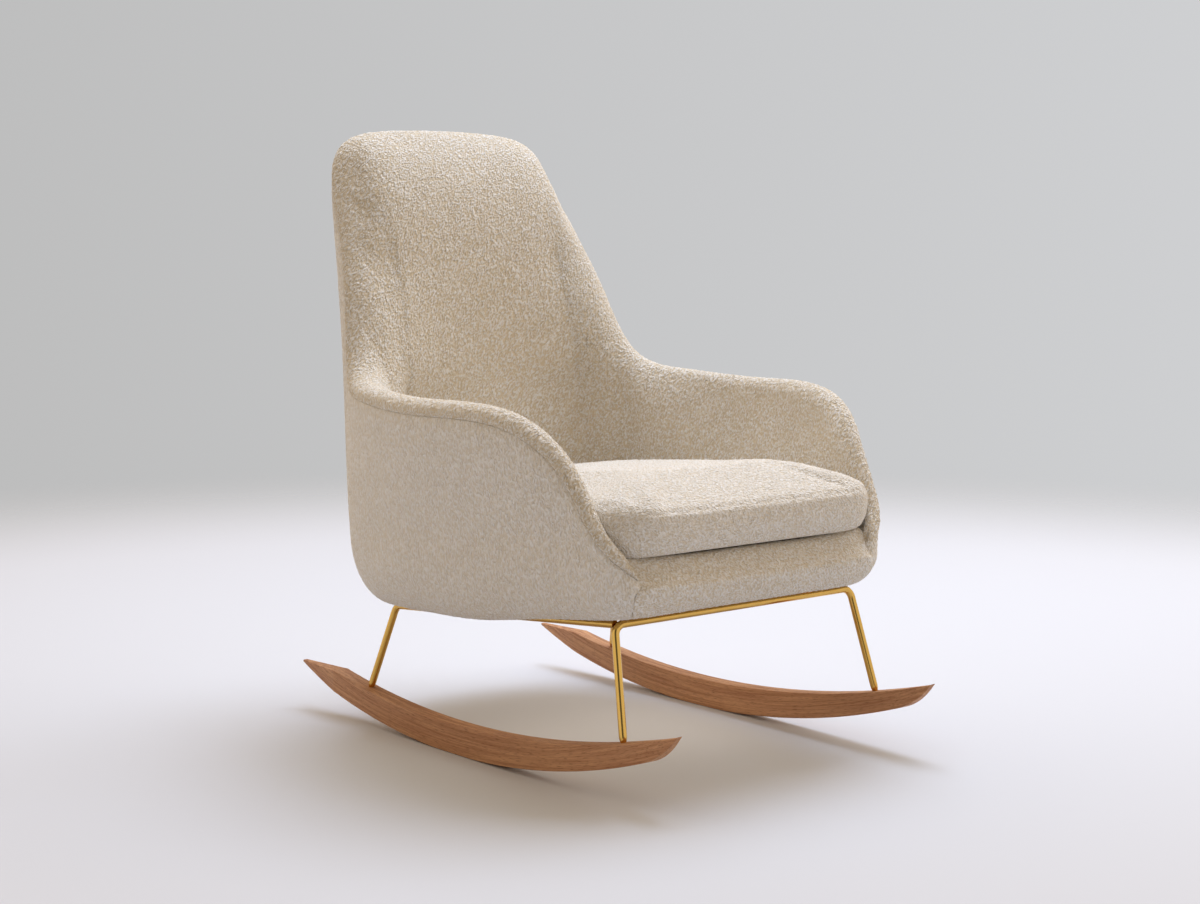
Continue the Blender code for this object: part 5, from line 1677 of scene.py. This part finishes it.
class CHAIR_OT_set_stage(bpy.types.Operator):
    """Sets the pale floor, the grey backdrop, the three lamps, the fill and the camera"""

    bl_idname = "chair.set_stage"
    bl_label = "Set Stage"

    def execute(self, context):
        look = context.scene.chair_stage
        context.scene.view_settings.view_transform = "Standard"
        self.lay_floor(look)
        self.light_world(context, look)
        self.hang_lamps(look)
        self.place_camera(context, look)
        return {"FINISHED"}

    @staticmethod
    def lay_floor(look):
        shape = bmesh.new()
        bmesh.ops.create_circle(shape, cap_ends=True, segments=96, radius=look.floor_radius * 2.4)
        bmesh.ops.translate(shape, vec=(0.0, 0.0, -0.0005), verts=shape.verts)
        floor = shown("floor", finished(shape, "floor"))
        # Matt painted studio floor that melts into the backdrop with distance
        material, tree, shader = new_material("painted_floor", 0.85, ior=1.5)
        shader.inputs["Base Color"].default_value = (*look.floor, 1.0)
        shader.inputs["Specular IOR Level"].default_value = 0.2
        far = vector_of(tree, "LENGTH", object_place(tree))
        near_edge, far_edge = look.floor_radius * 0.70, look.floor_radius * 1.30
        fade = ranged(tree, far, near_edge, far_edge, interpolation_type="SMOOTHSTEP")
        clear = add_node(tree, "ShaderNodeBsdfTransparent").outputs[0]
        both = add_node(tree, "ShaderNodeMixShader", {0: fade, 1: shader.outputs[0], 2: clear})
        tree.links.new(both.outputs[0], tree.nodes["Material Output"].inputs["Surface"])
        floor.data.materials.append(material)

    @staticmethod
    def light_world(context, look):
        world = bpy.data.worlds.new("studio")
        context.scene.world = world
        world.use_nodes = True
        tree = world.node_tree
        tree.nodes.clear()
        way = add_node(tree, "ShaderNodeTexCoord").outputs["Generated"]
        across, ahead = math.cos(look.azimuth), math.sin(look.azimuth)
        sideways = vector_of(tree, "DOT_PRODUCT", way, (across, ahead, 0.12))
        wall = blended(tree, ranged(tree, sideways, -0.30, 0.30), look.wall_dim, look.wall_bright)
        seen = add_node(tree, "ShaderNodeBackground", {"Color": wall, "Strength": 1.0}).outputs[0]
        # The room is warm, light behind the chair and above it, and dimmer behind the camera
        to_camera = vector_of(tree, "DOT_PRODUCT", way, (ahead, -across, 0.0))
        light, dim = look.fill * (1 + look.dimming), look.fill * (1 - look.dimming)
        room = {"Color": (1.0, 0.81, 0.60, 1.0), "Strength": ranged(tree, to_camera, -1.0, 1.0, light, dim)}
        lit = add_node(tree, "ShaderNodeBackground", room).outputs[0]
        # Metal mirrors two tall white screens, one on each side of a dim room
        aside = calculated(tree, "ABSOLUTE", sideways)
        screens = ranged(tree, aside, 0.30, 0.55, 0.17, 1.15, interpolation_type="SMOOTHSTEP")
        mirrored = add_node(tree, "ShaderNodeBackground", {"Strength": screens}).outputs[0]
        ray = add_node(tree, "ShaderNodeLightPath").outputs
        shiny = add_node(tree, "ShaderNodeMixShader", {0: ray["Is Glossy Ray"], 1: lit, 2: mirrored})
        both = add_node(tree, "ShaderNodeMixShader", {0: ray["Is Camera Ray"], 1: shiny.outputs[0], 2: seen})
        add_node(tree, "ShaderNodeOutputWorld", {"Surface": both.outputs[0]})

    @staticmethod
    def hang_lamps(look):
        under = (-0.02, 0.02, 0.225)
        # Each lamp: power, place, aim, size, colour, and whether metal mirrors it
        lamps = (
            ("overhead_soft_box", look.key, (1.30, 0.95, 4.3), (0.0, 0.0, 0.3), 2.6, "#D9E8FF", True),
            ("side_soft_box", look.side, (3.2, -0.8, 2.3), (0.0, 0.0, 0.5), 2.2, "#F4F4F8", False),
            ("bounce_under_seat", look.bounce, under, (*under[:2], 0.0), 0.44, "#FFF0DC", False),
        )
        for name, power, place, aim, size, shade, glints in lamps:
            light = bpy.data.lights.new(name, "AREA")
            light.shape = "SQUARE"
            light.size = size
            light.energy = power
            light.color = colour(shade)
            lamp = bpy.data.objects.new(name, light)
            lamp.visible_camera = False
            lamp.visible_glossy = glints
            lamp.location = place
            lamp.rotation_euler = (Vector(place) - Vector(aim)).to_track_quat("Z", "Y").to_euler()
            bpy.context.scene.collection.objects.link(lamp)

    @staticmethod
    def place_camera(context, look):
        data = bpy.data.cameras.new("camera")
        data.lens = look.lens
        data.sensor_width = 36.0
        camera = bpy.data.objects.new("camera", data)
        camera.location = (look.camera_x, look.camera_y, look.camera_z)
        back = Vector(
            (
                math.sin(look.azimuth) * math.cos(look.tilt),
                -math.cos(look.azimuth) * math.cos(look.tilt),
                math.sin(look.tilt),
            )
        )
        camera.rotation_euler = back.to_track_quat("Z", "Y").to_euler()
        context.scene.collection.objects.link(camera)
        context.scene.camera = camera


OPERATORS = (
    CHAIR_OT_set_stage,
    CHAIR_OT_shape_rockers,
    CHAIR_OT_bend_rods,
    CHAIR_OT_upholster_bucket,
    CHAIR_OT_lay_deck,
    CHAIR_OT_sew_cushion,
    CHAIR_OT_fit_zip,
    CHAIR_OT_finish_inside,
)


class CHAIR_PT_panel(bpy.types.Panel):
    """Lists the steps that dress the chair."""

    bl_idname = "CHAIR_PT_panel"
    bl_label = "Rocking Chair"
    bl_space_type = "VIEW_3D"
    bl_region_type = "UI"
    bl_category = "Rocking Chair"

    def draw(self, context):
        for operator in OPERATORS:
            self.layout.operator(operator.bl_idname)
        for name in GROUPS:
            group = getattr(context.scene, name)
            box = self.layout.box()
            for key in group.bl_rna.properties.keys():
                if key not in ("rna_type", "name"):
                    box.prop(group, key)


def register():
    for group in GROUPS.values():
        bpy.utils.register_class(group)
    for name, group in GROUPS.items():
        setattr(bpy.types.Scene, name, PointerProperty(type=group))
    for operator in OPERATORS:
        bpy.utils.register_class(operator)
    bpy.utils.register_class(CHAIR_PT_panel)


def unregister():
    bpy.utils.unregister_class(CHAIR_PT_panel)
    for operator in reversed(OPERATORS):
        bpy.utils.unregister_class(operator)
    for name in GROUPS:
        delattr(bpy.types.Scene, name)
    for group in reversed(list(GROUPS.values())):
        bpy.utils.unregister_class(group)


def main():
    register()
    bpy.ops.chair.set_stage()
    bpy.ops.chair.shape_rockers()
    bpy.ops.chair.bend_rods()
    bpy.ops.chair.upholster_bucket()
    bpy.ops.chair.lay_deck()
    bpy.ops.chair.sew_cushion()
    bpy.ops.chair.fit_zip()
    bpy.ops.chair.finish_inside()


if __name__ == "__main__":
    main()
